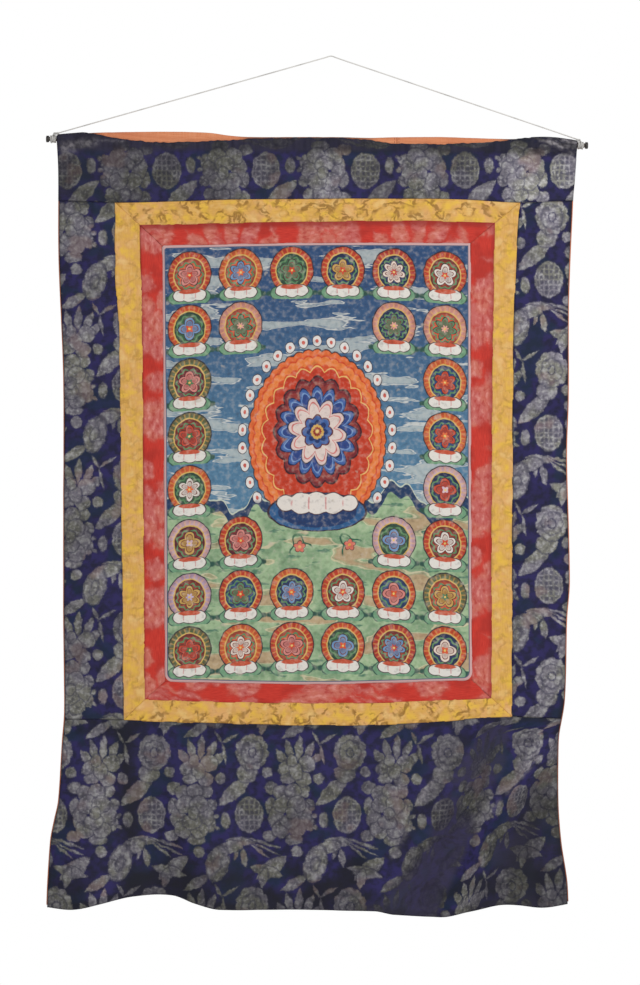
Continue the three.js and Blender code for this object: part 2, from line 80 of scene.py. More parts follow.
bpy.ops.mesh.primitive_circle_add(vertices=96, radius=FLOOR_RADIUS, fill_type="NGON",
                                  location=(VIEW_CENTRE[0], 0, FLOOR_LEVEL))
floor = bpy.context.object
floor.name = "floor"
print("floor across:", 2 * FLOOR_RADIUS, "m")

# %% [markdown]
# ## Surfaces from grids
#
# Cloth, rod and cord are all made in one way: numpy works out a grid of points from two
# parameters, and the grid goes into the mesh as whole arrays. Each grid also carries a UV map
# in metres of cloth, so that a woven pattern keeps its real size and follows the folds.

# %% Grid to mesh
def add_grid(name, points, uv, wrap=False, extra=None):
    """Make an object from points[i, j] and uv[i, j]. Faces turn with i to the right and j up.

    With wrap the last column joins the first. extra holds named values for each point."""
    columns, rows = points.shape[:2]
    number = np.arange(columns * rows).reshape(columns, rows)
    if wrap:
        number = np.vstack([number, number[:1]])
        uv = np.vstack([uv, uv[-1:] * 2 - uv[-2:-1]])
    corners = np.stack([number[:-1, :-1], number[1:, :-1], number[1:, 1:], number[:-1, 1:]], -1)
    corner_uv = np.stack([uv[:-1, :-1], uv[1:, :-1], uv[1:, 1:], uv[:-1, 1:]], 2)
    mesh = bpy.data.meshes.new(name)
    mesh.from_pydata(points.reshape(-1, 3), [], corners.reshape(-1, 4))
    mesh.uv_layers.new(name="cloth").data.foreach_set("uv", corner_uv.astype(np.float32).ravel())
    for key, values in (extra or {}).items():
        layer = mesh.attributes.new(key, "FLOAT", "POINT")
        layer.data.foreach_set("value", np.broadcast_to(values, (columns, rows)).astype(np.float32).ravel())
    mesh.polygons.foreach_set("use_smooth", np.ones(len(mesh.polygons), bool))
    piece = bpy.data.objects.new(name, mesh)
    bpy.context.collection.objects.link(piece)
    return piece


def thicken(piece, thickness):
    """Give a sheet its thickness, half to each side of its middle surface."""
    solidify = piece.modifiers.new("thickness", "SOLIDIFY")
    solidify.thickness = thickness
    solidify.offset = 0


def stand_in(piece, node):
    """The piece rides on the scroll's one body and replaces a solid."""
    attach(piece, "root")
    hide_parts(node)


# %% [markdown]
# ## The lines of the mount
#
# A tailor cuts the mount along eight lines that run down and eight that run across. They are
# not quite straight: the silk has given a little, and the cloth flares below the frame. Each
# line is a short list of places, joined by a smooth cubic.

# %% Smooth lines
def smooth_line(*rows):
    """A line through rows of (place, value): between two rows it is the cubic whose slope at
    each row is that of the chord between the row's neighbours."""
    at, value = np.array(sorted(rows)).T
    before, after = np.r_[0, 0:len(at) - 1], np.r_[1:len(at), len(at) - 1]
    slope = (value[after] - value[before]) / (at[after] - at[before])

    def line(place):
        t = np.clip(place, at[0], at[-1])
        i = np.clip(np.searchsorted(at, t, side="right") - 1, 0, len(at) - 2)
        span = at[i + 1] - at[i]
        s = (t - at[i]) / span
        rise = 3 * s ** 2 - 2 * s ** 3
        bends = span * ((s ** 3 - 2 * s ** 2 + s) * slope[i] + (s ** 3 - s ** 2) * slope[i + 1])
        return value[i] * (1 - rise) + value[i + 1] * rise + bends

    return line


def ramp(value, low, high):
    """Smoothly from 0 at low to 1 at high."""
    s = np.clip((value - low) / (high - low), 0, 1)
    return s * s * (3 - 2 * s)


# %% Plumb lines: x at a level z
cloth_left = smooth_line(
    (-0.110, -0.384), (-0.160, -0.382), (-0.285, -0.3815), (-0.370, -0.378), (-0.454, -0.375),
    (-0.762, -0.375), (-0.920, -0.374), (-0.958, -0.377), (-1.042, -0.382), (-1.070, -0.388),
    (-1.098, -0.3935), (-1.154, -0.3975), (-1.195, -0.399))
cloth_right = smooth_line(
    (-0.110, 0.345), (-0.174, 0.3415), (-0.202, 0.339), (-0.342, 0.3335), (-0.482, 0.333),
    (-0.566, 0.3305), (-0.734, 0.3345), (-0.790, 0.3305), (-0.902, 0.3275), (-0.958, 0.319),
    (-1.042, 0.318), (-1.098, 0.322), (-1.154, 0.3305), (-1.195, 0.3325))
yellow_left = smooth_line(
    (-0.206, -0.302), (-0.315, -0.3015), (-0.370, -0.297), (-0.566, -0.294),
    (-0.845, -0.291), (-0.931, -0.2905))
yellow_right = smooth_line(
    (-0.206, 0.264), (-0.286, 0.259), (-0.426, 0.255), (-0.762, 0.2535), (-0.925, 0.253))
red_left = smooth_line((-0.237, -0.2675), (-0.412, -0.264), (-0.900, -0.261))
red_right = smooth_line((-0.234, 0.229), (-0.500, 0.2255), (-0.899, 0.2245))
canvas_left = smooth_line((-0.266, -0.2365), (-0.560, -0.234), (-0.876, -0.2325))
canvas_right = smooth_line((-0.262, 0.1955), (-0.560, 0.196), (-0.874, 0.1975))
print("the cloth at its foot is", round(1000 * float(cloth_right(-1.2) - cloth_left(-1.2))), "mm wide")

# %% Level lines: z at a place x
top_seam = smooth_line(
    (-0.384, -0.203), (-0.302, -0.206), (-0.226, -0.2045), (-0.141, -0.202), (0.054, -0.2005),
    (0.180, -0.2015), (0.264, -0.206), (0.342, -0.203))
bottom_seam = smooth_line(
    (-0.376, -0.928), (-0.290, -0.930), (-0.205, -0.933), (-0.060, -0.9365), (0.054, -0.9365),
    (0.140, -0.933), (0.208, -0.927), (0.253, -0.925), (0.325, -0.928))
red_top = smooth_line((-0.267, -0.237), (-0.070, -0.233), (0.100, -0.231), (0.229, -0.234))
red_bottom = smooth_line((-0.261, -0.901), (-0.120, -0.905), (0.060, -0.9055), (0.225, -0.899))
canvas_top = smooth_line((-0.236, -0.2655), (-0.020, -0.2615), (0.196, -0.262))
canvas_bottom = smooth_line((-0.233, -0.876), (-0.020, -0.8795), (0.197, -0.874))
hem = smooth_line(
    (-0.400, -1.1915), (-0.363, -1.1945), (-0.323, -1.187), (-0.279, -1.1775), (-0.223, -1.176),
    (-0.190, -1.187), (-0.155, -1.1945), (0.060, -1.195), (0.088, -1.201), (0.152, -1.205),
    (0.192, -1.197), (0.242, -1.188), (0.293, -1.1915), (0.333, -1.186))
print("the painting is", round(1000 * float(canvas_top(0) - canvas_bottom(0))), "mm high")

# %% [markdown]
# ## How the cloth hangs
#
# The scroll is almost flat, but its lower panel falls free and swings into soft diagonal
# folds. A simulation would drape it in some other way each time a value changed, so the folds
# are listed: each is a ridge with its own width to either side, which grows from its
# first end. Their sum, less a small step back below the stiff frame, is the depth of the cloth.

# %% Folds
# Start x and z, end x and z, width left and right, height, length of growth, share left at the end.
FOLDS = [
    (0.176, -0.988, 0.062, -1.180, 0.095, 0.070, 0.017, 0.080, 1.0),
    (0.306, -0.958, 0.186, -1.180, 0.034, 0.085, 0.011, 0.060, 1.0),
    (-0.352, -1.010, -0.345, -1.190, 0.060, 0.060, 0.009, 0.150, 1.0),
    (-0.262, -1.040, -0.240, -1.190, 0.060, 0.060, -0.006, 0.130, 1.0),
    (-0.195, -1.030, -0.150, -1.190, 0.055, 0.070, 0.008, 0.130, 1.0),
    (-0.040, -0.960, -0.020, -1.190, 0.080, 0.090, 0.004, 0.120, 1.0),
    (0.325, -1.040, 0.312, -1.190, 0.050, 0.050, 0.008, 0.120, 1.0),
    (-0.120, -0.165, -0.116, -0.255, 0.070, 0.080, 0.004, 0.040, 0.0),
    (0.030, -0.165, 0.034, -0.255, 0.065, 0.055, 0.004, 0.040, 0.0),
    (0.155, -0.165, 0.160, -0.250, 0.060, 0.050, 0.0035, 0.040, 0.0),
    (0.300, -0.170, 0.304, -0.380, 0.080, 0.070, 0.004, 0.050, 0.0),
    (-0.340, -0.170, -0.345, -0.460, 0.070, 0.070, 0.003, 0.060, 0.0),
    (-0.345, -0.560, -0.340, -0.930, 0.070, 0.070, 0.003, 0.140, 0.4),
    (0.306, -0.560, 0.302, -0.930, 0.070, 0.070, 0.003, 0.140, 0.6)]
print("folds placed:", len(FOLDS))

# %% Depth of the cloth
ROLL_WAVE = 0.205
ROLL_HEIGHT = 0.0012
STEP_BACK = 0.003
STEP_OVER = 0.028

ROD_LEVEL = -0.120
rod_left = np.array([-0.394, -0.1162])
rod_right = np.array([0.355, -0.1253])
rod_slope = (rod_right[1] - rod_left[1]) / (rod_right[0] - rod_left[0])


def rod_axis(x):
    """Height of the rod's axis at x: a straight line between its two ends."""
    return rod_left[1] + (x - rod_left[0]) * rod_slope


def fold_height(fold, x, z):
    """A ridge: a squared cosine across the crest line, times a smooth growth along it."""
    x0, z0, x1, z1, left, right, height, growth, last = fold
    length = math.hypot(x1 - x0, z1 - z0)
    along = np.array([x1 - x0, z1 - z0]) / length
    travelled = (x - x0) * along[0] + (z - z0) * along[1]
    across = (z - z0) * along[0] - (x - x0) * along[1]
    share = np.clip(np.abs(across) / np.where(across < 0, left, right), 0, 1)
    grown = ramp(travelled, -growth / 2, growth / 2)
    kept = 1 + (last - 1) * ramp(travelled, length / 2, length)
    return height * np.cos(share * math.pi / 2) ** 2 * grown * kept


def drape(x, z):
    """How far the cloth stands to the front of the plumb plane through the rod."""
    free = ramp(rod_axis(x) - z, 0.046, 0.106)
    waves = ROLL_HEIGHT * np.cos(z / ROLL_WAVE * 2 * math.pi)
    back = STEP_BACK * ramp(bottom_seam(x) - z, -0.002, STEP_OVER)
    return free * (waves - back + sum(fold_height(fold, x, z) for fold in FOLDS))


x_test, z_test = np.meshgrid(np.linspace(-0.39, 0.33, 60), np.linspace(-1.19, -0.2, 80))
depths = drape(x_test, z_test)
print("cloth depth from", round(depths.min() * 1000, 1), "to", round(depths.max() * 1000, 1), "mm")

# %% [markdown]
# ## The hanging cord
#
# One thin string is tied to both ends of the rod and hangs on a nail. It is twisted from two
# yarns. A bevelled curve would give a smooth wire, so the string is a tube whose round section
# has two swellings, and these turn as the section moves along the path.

# %% A tube along a path
def spaced(route, step):
    """Points about step apart along a smooth line through the route, and their arc lengths."""
    route = np.array(route)
    marks = np.r_[0, np.cumsum(np.linalg.norm(np.diff(route, axis=0), axis=1))]
    at = np.linspace(0, marks[-1], max(int(marks[-1] / step), 2) + 1)
    return np.stack([smooth_line(*zip(marks, route[:, k]))(at) for k in range(3)], -1), at


def add_string(name, path, at, radius, sides=12, lay=0.006, swell=0.12):
    """Each section is a circle of points around the path, square to it. The radius swells
    twice round the section, and that pattern makes one turn in each length of lay."""
    along = np.gradient(path, axis=0)
    along /= np.linalg.norm(along, axis=1, keepdims=True)
    helper = np.where(np.abs(along[:, 1:2]) < 0.8, [[0.0, 1.0, 0.0]], [[1.0, 0.0, 0.0]])
    out = np.cross(helper, along)
    out /= np.linalg.norm(out, axis=1, keepdims=True)
    other = np.cross(along, out)
    angle = np.linspace(0, 2 * math.pi, sides, endpoint=False)[:, None]
    twist = 2 * (angle - at[None, :] / lay * 2 * math.pi)
    reach = radius * (1 - swell / 2 + swell / 2 * np.cos(twist))
    ends = np.minimum(at, at[-1] - at) / radius
    reach = reach * np.sqrt(np.clip(ends, 0.05, 1))[None, :]
    points = path + reach[..., None] * (np.cos(angle)[..., None] * out + np.sin(angle)[..., None] * other)
    uv = np.stack(np.broadcast_arrays(angle * radius, at[None, :]), -1)
    string = add_grid(name, points, uv, wrap=True)
    print(name, "is", round(at[-1] * 1000), "mm long")
    return string


# %% The cord from end to end
CORD = 0.0018
cord_route = [
    (-0.389, 0, -0.10975), (-0.377, 0, -0.1064), (-0.345, 0, -0.0974), (-0.300, 0, -0.0847),
    (-0.250, 0, -0.0706), (-0.200, 0, -0.0565), (-0.150, 0, -0.0424), (-0.100, 0, -0.0283),
    (-0.050, 0, -0.0142), (-0.020, 0, -0.0057), (-0.008, 0, -0.0023), (-0.003, 0, -0.0007),
    (0, 0, -0.0002), (0.003, 0, -0.0008), (0.008, 0, -0.0027), (0.020, 0, -0.0068),
    (0.050, 0, -0.0169), (0.100, 0, -0.0338), (0.150, 0, -0.0507), (0.200, 0, -0.0676),
    (0.250, 0, -0.0845), (0.300, 0, -0.1014), (0.335, 0, -0.1133), (0.3493, 0, -0.1181)]
cord_path, cord_at = spaced(cord_route, 0.0009)
cord = add_string("cord", cord_path, cord_at, CORD / 2)
stand_in(cord, "hanging_cord")

# %% [markdown]
# ## Lashings at the rod's ends
#
# The string goes round each end of the rod in close turns and is tied off in a small knot.
# The turns are a helix on the rod's own axis, and the knot is a loop that crosses itself. Both
# are the same tube on another path. A short end stands off, as it does after the scissors.

# %% Points on the rod
ROD = 0.0065
rod_along = np.array([1, 0, rod_slope]) / math.hypot(1, rod_slope)
rod_up = np.array([-rod_along[2], 0, rod_along[0]])
rod_front = np.array([0, -1.0, 0])


def on_rod(x, shift, reach, turn):
    """A point at shift along the rod from x, at a reach from its axis, turned from the top
    to the front."""
    middle = np.array([x, 0, rod_axis(x)])
    shift, reach, turn = (np.asarray(value)[..., None] for value in (shift, reach, turn))
    return middle + shift * rod_along + reach * (np.cos(turn) * rod_up + np.sin(turn) * rod_front)


# %% Windings
TURNS, CROSSED = 4.5, 1.1
SNUG = 0.62


def winding(x, side):
    """Turns side by side, then one crossed back over them at a slant, out to a free end."""
    t, s = np.linspace(0, 1, 90), np.linspace(0.06, 1, 34)
    first = on_rod(x, side * (0.5 - t) * 4 * CORD, ROD / 2 + CORD * SNUG, t * TURNS * 2 * math.pi)
    reach = ROD / 2 + CORD * (SNUG + 0.8 * np.sin(s * math.pi) ** 0.5)
    second = on_rod(x, side * (s - 0.5) * 3.4 * CORD, reach, (TURNS + s * CROSSED) * 2 * math.pi)
    return np.vstack([first, second])


# %% Knots
def knot(x, shift, turn, size):
    """A trefoil: two turns round while the line weaves in and out three times, then an end."""
    t = np.linspace(0.25, 2 * math.pi - 0.15, 60)
    a = (np.sin(t) + 2 * np.sin(2 * t)) * size
    b = (np.cos(t) - 2 * np.cos(2 * t)) * size
    c = -np.sin(3 * t) * size * 1.1
    centre = on_rod(x, shift, ROD / 2 + CORD * 1.9, turn)
    line = centre + a[:, None] * rod_along + b[:, None] * rod_up + c[:, None] * rod_front
    drop = np.linspace(0.3, 1, 8)[:, None]
    end = line[-1] + drop * np.array([0.002, -0.0015, -0.0045]) + drop ** 2 * np.array([0.0015, 0, -0.003])
    return np.vstack([line, end])


# %% Tie the cord to the rod
# Side, which way is outwards, the lashing's place on the rod, the knot's size and its shift.
TIES = [("left", -1, -0.389, 0.0013, 0.0045), ("right", 1, 0.3493, 0.0010, 0.0035)]
lashings = {}
for side, away, x, size, shift in TIES:
    turns_path, turns_at = spaced(winding(x, away), 0.0009)
    knot_path, knot_at = spaced(knot(x, -away * shift, 0.5, size), 0.0006)
    lashings[side] = [
        add_string("lashing_" + side, turns_path, turns_at, CORD / 2, sides=10),
        add_string("knot_" + side, knot_path, knot_at, CORD * 0.45, sides=10)]
    for piece in lashings[side]:
        stand_in(piece, "cord_lashing_" + side)

# %% [markdown]
# ## The rod and its caps
#
# The rod is a plain round stick, of which only the ends show. Each cap is a turned knob with
# soft shoulders. Turned work is a profile swept round an axis: the grid's one direction runs
# along the profile and the other goes round.

# %% Turned pieces
def add_turned(name, profile, x, sides=40):
    """Each pair of the profile is a place along the rod from x and a radius there. It goes
    round the rod's axis, and both its ends close on the axis."""
    place, radius = np.array([(profile[0][0], 0)] + profile + [(profile[-1][0], 0)]).T
    turn = np.linspace(0, 2 * math.pi, sides, endpoint=False)[:, None]
    points = on_rod(x, place[None, :] + 0 * turn, radius[None, :] + 0 * turn, -turn + 0 * place[None, :])
    uv = np.stack(np.broadcast_arrays(turn * ROD / 2, place[None, :]), -1)
    return add_grid(name, points, uv, wrap=True)


def rounded(start, end, radius, edge, steps=5):
    """A straight side at one radius, with a quarter circle at each end of it."""
    bend = np.linspace(0, math.pi / 2, steps)
    first = [(start + edge * (1 - math.cos(t)), radius - edge * (1 - math.sin(t))) for t in bend]
    last = [(end - edge * (1 - math.sin(t)), radius - edge * (1 - math.cos(t))) for t in bend]
    return first + last


rod_length = math.hypot(*(rod_right - rod_left))
rod_middle = (rod_left[0] + rod_right[0]) / 2
rod = add_turned("rod", rounded(-rod_length / 2, rod_length / 2, ROD / 2, 0.0006), rod_middle)
stand_in(rod, "hanging_rod")

CAP_GAP, CAP_LENGTH, CAP = 0.0003, 0.0045, 0.0095
caps = []
for side, away in (("left", -1), ("right", 1)):
    inner, outer = (away * (rod_length / 2 + CAP_GAP), away * (rod_length / 2 + CAP_GAP + CAP_LENGTH))
    outline = rounded(min(inner, outer), max(inner, outer), CAP / 2, 0.0014)
    caps.append(add_turned("cap_" + side, outline, rod_middle))
    stand_in(caps[-1], "rod_cap_" + side)
print("rod", round(rod_length * 1000), "mm long")

# %% [markdown]
# ## Pieces inside four lines
#
# Each piece of the mount is bounded by two plumb and two level lines. A Coons patch fills such
# a shape: it blends the facing lines and takes away what has been counted twice. Mitred strips
# are the same patch with a straight seam for one or two of their edges.

# %% Patches
def crossing(plumb, level):
    """Where a plumb line and a level line cross, found by going back and forth."""
    z = level(plumb(ROD_LEVEL))
    for _ in range(8):
        z = level(plumb(z))
    return np.array([float(plumb(z)), float(z)])


def along_level(level, start, end):
    """The stretch of a level line between two corners, by a share from 0 to 1."""
    def edge(share):
        x = start[0] + (end[0] - start[0]) * share
        return np.stack([x, level(x)], -1)
    return edge


def along_plumb(plumb, start, end):
    """The stretch of a plumb line between two corners, by a share from 0 to 1."""
    def edge(share):
        z = start[1] + (end[1] - start[1]) * share
        return np.stack([plumb(z), z], -1)
    return edge


def straight(start, end):
    """The straight seam between two corners, by a share from 0 to 1."""
    return lambda share: start + (end - start) * np.asarray(share)[..., None]


def edges_of(left, right, top, bottom):
    """Top, bottom, left and right edges of the piece between four lines."""
    corners = [crossing(plumb, level) for level in (top, bottom) for plumb in (left, right)]
    return (along_level(top, corners[0], corners[1]), along_level(bottom, corners[2], corners[3]),
            along_plumb(left, corners[0], corners[2]), along_plumb(right, corners[1], corners[3]))


def patch(edges, u, v):
    """The blend of top and bottom by v, plus that of left and right by u, less that of the
    four corners by both."""
    top, bottom, left, right = edges
    s, t = u[..., None], v[..., None]
    zero, one = np.zeros_like(u), np.ones_like(u)
    levels = top(u) * (1 - t) + bottom(u) * t
    plumbs = left(v) * (1 - s) + right(v) * s
    upper = top(zero) * (1 - s) + top(one) * s
    lower = bottom(zero) * (1 - s) + bottom(one) * s
    return levels + plumbs - upper * (1 - t) - lower * t


# %% [markdown]
# ## Sewn cloth
#
# Real seams pull the cloth back and pucker it, and the cloth between them stands a little
# proud. Each piece therefore starts from the hanging depth, is rolled back towards its four
# edges, and carries small ripples that run into each seam and die out away from it. The
# ripples are sums of a few waves with fixed random phases, so that every run is the same.

# %% Thicknesses, seams and ripples
CANVAS, SILK, BROCADE, LINING = 0.0012, 0.0010, 0.0014, 0.0010
PRESSED = 0.8
LINING_GAP = 0.0012
SEAM_TUCK = 0.0004
CROWN, CROWN_LEAST = 0.0003, -0.0006
PUCKERS = (0.030, 0.007)
PUCKER_REACH, STITCH_REACH = 0.009, 0.0015
UNEVEN = 0.05


def ripples(along, seed, longest, shortest, count=9):
    """A wavy line of about unit height: cosines whose lengths go from longest to shortest."""
    chance = np.random.default_rng(seed)
    lengths = np.geomspace(longest, shortest, count) * chance.uniform(0.85, 1.18, count)
    phases, heights = chance.uniform(0, 2 * math.pi, count), chance.uniform(0.4, 1, count)
    waves = heights * np.cos(np.asarray(along)[..., None] / lengths * 2 * math.pi + phases)
    return waves.sum(-1) / math.sqrt((heights ** 2).sum() / 2)


def rumple(x, z, seed, size, count=14):
    """Uneven cloth of about unit height: cosines of like length in all directions."""
    chance = np.random.default_rng(seed)
    angles, phases = chance.uniform(0, math.pi, count), chance.uniform(0, 2 * math.pi, count)
    lengths = size * chance.uniform(0.7, 1.6, count)
    travelled = x[..., None] * np.cos(angles) + z[..., None] * np.sin(angles)
    return np.cos(travelled / lengths * 2 * math.pi + phases).sum(-1) / math.sqrt(count / 2)


def fading(distance, reach, held):
    """How far ripples rise at a distance from a seam: held down by it, then dying out."""
    return np.exp(-distance / reach) * (1 - np.exp(-distance / held))


# %% A sewn piece
def lay_piece(name, edges, step, thickness, seed, grain="upright", centre=(0, 0), bend=0.0022,
              pucker=0.00022, uneven=0.0002, roll=0.0007, free=(), worn=None, slip=None,
              relief=None):
    """A piece on the hanging cloth. Its depth is the drape, plus half its thickness and the
    lining's gap, plus a low crown that falls away exponentially towards each sewn edge, plus
    ripples that fade away from the edges, plus any relief. Edges in free aren't sewn."""
    corner = [edge(np.array(share)) for edge in edges[:2] for share in (0.0, 1.0)]
    middle = [edge(np.array(0.5)) for edge in edges]
    width = max(np.linalg.norm(corner[1] - corner[0]), np.linalg.norm(corner[3] - corner[2]))
    height = max(np.linalg.norm(corner[2] - corner[0]), np.linalg.norm(corner[3] - corner[1]))
    inner_width = np.linalg.norm(middle[3] - middle[2])
    inner_height = np.linalg.norm(middle[1] - middle[0])
    u, v = np.meshgrid(*(
        np.linspace(-SEAM_TUCK / inner, 1 + SEAM_TUCK / inner, max(round(size / each), 6) + 1)
        for size, each, inner in zip((width, height), step, (inner_width, inner_height))), indexing="ij")
    u = np.clip(u, 0 if "left" in free else -1, 1 if "right" in free else 2)
    v = np.clip(v, 0 if "top" in free else -1, 1 if "bottom" in free else 2)
    place = patch(edges, u, v)
    x, z = place[..., 0], place[..., 1]
    inwards = {"left": u * inner_width, "right": (1 - u) * inner_width,
               "top": v * inner_height, "bottom": (1 - v) * inner_height}
    sewn = [side for side in inwards if side not in free]
    rolled = sum(np.exp(-np.maximum(inwards[side], 0) / bend) for side in sewn)
    puckers = sum(
        ripples(z if side in ("left", "right") else x, seed + k, *PUCKERS)
        * fading(np.abs(inwards[side]), PUCKER_REACH, STITCH_REACH) for k, side in enumerate(sewn))
    crown = CROWN - roll * rolled + pucker * puckers + uneven * rumple(x, z, seed + 9, UNEVEN)
    crown = np.maximum(crown, CROWN_LEAST) + (relief(x, z) if relief else 0)
    y = -drape(x, z) - (LINING_GAP + thickness) / 2 - crown
    points = np.stack([x, y, z], -1)[:, ::-1]
    uv = place - np.array(centre) + (slip(x, z) if slip else 0)
    if grain == "level":
        uv = uv[..., ::-1]
    # Values for each point under their keys: the painting's rim, and the painted sheen and painted shade of
    # the brocade and the red silk.
    extra = {key: value(x, z)[:, ::-1] for key, value in (worn or {}).items()}
    extra["from_edge"] = np.minimum.reduce(list(inwards.values()))[:, ::-1]
    piece = add_grid(name, points, uv[:, ::-1], extra=extra)
    thicken(piece, thickness * PRESSED)
    return piece


# %% [markdown]
# ## The painted canvas and its silk strips
#
# The painting is on stiff primed cotton. Around it run two frames of figured silk, red inside
# yellow, each of four strips that meet in slanting seams. Every strip is cut along the cloth,
# so the pattern of the upright strips is turned by a quarter.

# %% Canvas
outer_frame = (yellow_left, yellow_right, top_seam, bottom_seam)
middle_frame = (red_left, red_right, red_top, red_bottom)
inner_frame = (canvas_left, canvas_right, canvas_top, canvas_bottom)
CANVAS_CENTRE = (-0.0192, -0.570)
CORNER = 0.012


def painted_rim(x, z):
    """Distance in from the painted field's edge, whose lower corners are quarter circles."""
    side = np.minimum(x - canvas_left(z), canvas_right(z) - x)
    foot = z - canvas_bottom(x)
    inside = CORNER - np.hypot(np.maximum(CORNER - side, 0), np.maximum(CORNER - foot, 0))
    return np.minimum(inside, canvas_top(x) - z)


canvas = lay_piece("painting", edges_of(*inner_frame), (0.003, 0.003), CANVAS, seed=3,
                   centre=CANVAS_CENTRE, bend=0.0012, pucker=0.00008, uneven=0.00022,
                   worn={"rim": painted_rim})
stand_in(canvas, "painted_canvas")
print("canvas faces:", len(canvas.data.polygons))


# %% Strips
def tucked_under(x, z):
    """The red silk lies a little lower than the yellow, so it is in shade along that seam."""
    top = 1 - ramp(red_top(x) - z, 0.002, 0.011)
    right = 0.8 * (1 - ramp(red_right(z) - x, 0.0005, 0.007))
    left = 0.6 * (1 - ramp(x - red_left(z), 0.0005, 0.004))
    return np.maximum.reduce([top, right, left])


def add_strips(colour, slot, outer_lines, inner_lines, seed):
    """Four strips between an outer and an inner frame, mitred from corner to corner."""
    outer, inner = edges_of(*outer_lines), edges_of(*inner_lines)
    corner = {}
    for key, edge, share in (("top_left", 0, 0.0), ("top_right", 0, 1.0),
                             ("bottom_left", 1, 0.0), ("bottom_right", 1, 1.0)):
        corner[key] = (outer[edge](np.array(share)), inner[edge](np.array(share)))
    seam = {key: straight(*ends) for key, ends in corner.items()}
    back = {key: straight(*ends[::-1]) for key, ends in corner.items()}
    shapes = {
        "top": (outer[0], inner[0], seam["top_left"], seam["top_right"]),
        "bottom": (inner[1], outer[1], back["bottom_left"], back["bottom_right"]),
        "left": (seam["top_left"], seam["bottom_left"], outer[2], inner[2]),
        "right": (back["top_right"], back["bottom_right"], inner[3], outer[3]),
    }
    strips = {}
    for number, (side, edges) in enumerate(shapes.items()):
        upright = side in ("left", "right")
        strips[side] = lay_piece(
            f"{slot}_{side}", edges, (0.0016, 0.003) if upright else (0.003, 0.0016), SILK,
            roll=0.0003, seed=seed + 20 * number, grain="level" if upright else "upright",
            centre=(0.031 * number, 0.017 * number),
            worn={"figured": lambda x, z: (0.35 if upright else 1.0) + 0 * x, "tucked": tucked_under})
        stand_in(strips[side], f"{colour}_border_{side}")
        long = max(np.linalg.norm(edge(np.array(1.0)) - edge(np.array(0.0))) for edge in edges)
    print(colour, "strips made:", ", ".join(strips))
    return strips


red_strips = add_strips("red", "red_silk", middle_frame, inner_frame, seed=100)
yellow_strips = add_strips("yellow", "yellow_silk", outer_frame, middle_frame, seed=200)

# %% [markdown]
# ## The brocade mount
#
# Four panels of dark blue brocade surround the frames. The seams at the top and bottom run the
# whole width, so the side panels are cut between them. The maker cut the panels without
# matching the pattern, and laid the top one upside down: each panel has its own start of the
# woven repeat. Light and shade are painted on the cloth: a value named glow, on each point of
# the cloth, paints the metal thread brighter where light falls and darker where shade falls.

# %% Painted sheen and painted shade on the metal thread
REPEAT = (0.137, 0.214)
LINING_SHOW = 0.0015


def bump(value, centre, width):
    """A smooth hill of height 1 around a centre."""
    return np.exp(-((value - centre) / width) ** 2)


sheen_band_middle = smooth_line(
    (-0.941, 0.230), (-0.990, 0.214), (-1.042, 0.190), (-1.102, 0.157), (-1.200, 0.106))
sheen_band_reach = smooth_line(
    (-0.941, 0.026), (-0.990, 0.038), (-1.042, 0.046), (-1.102, 0.048), (-1.200, 0.056))
ridge = smooth_line(
    (-0.939, 0.307), (-1.000, 0.269), (-1.037, 0.241), (-1.098, 0.209), (-1.200, 0.168))


def in_sheen_band(x, z):
    """Painted sheen: 1 in the middle of the slanting band where a fold takes the shine from the
    metal thread and lays a pale haze on the satin, falling off steeply at its sides.
    """
    return np.exp(-np.abs((x - sheen_band_middle(z)) / sheen_band_reach(z)) ** 3)


def painted_sheen(x, z):
    """Painted sheen on the metal thread: 1 on plain cloth, more where light is painted on it,
    less where shade is painted, and a little more or less at random.
    """
    # Painted light: the right side shines, less so lower down, and the far left a little; on the top panel
    # the right part and some upright bands are lit, and the left part is in painted shade.
    top = ramp(z, -0.24, -0.19)
    right = ramp(x, 0.24, 0.27) * ramp(z, -0.96, -0.90)
    glow = 1.02 + 0.60 * right * (1 - 0.35 * ramp(-z, 0.5, 0.9)) + 0.12 * ramp(-x, 0.24, 0.27)
    glow += top * (0.36 * ramp(x, 0.12, 0.30) - 0.40 * ramp(-x, 0.06, 0.30) - 0.06)
    for centre, width, gain in ((-0.003, 0.020, 0.35), (0.135, 0.016, 0.35), (0.235, 0.055, 0.25),
                                (-0.13, 0.03, 0.12)):
        glow += top * gain * bump(x, centre, width)
    # Painted shade in the slanting band of a fold and beyond its ridge, a painted highlight along the
    # ridge, and painted shade towards the hem.
    low = ramp(-z, 0.930, 0.945)
    beyond = ramp(x - ridge(z), 0.006, 0.030) * (0.30 + 0.12 * ramp(-z, 1.02, 1.12))
    glow -= low * (0.74 * in_sheen_band(x, z) + beyond - 0.30 * bump(x, ridge(z), 0.014))
    glow -= low * 0.16 * ramp(hem(x) + 0.06 - z, 0, 0.06)
    glow += 0.10 * rumple(x, z, 61, 0.12) + 0.05 * rumple(x, z, 62, 0.03)
    return np.clip(glow, 0.2, 2.2)


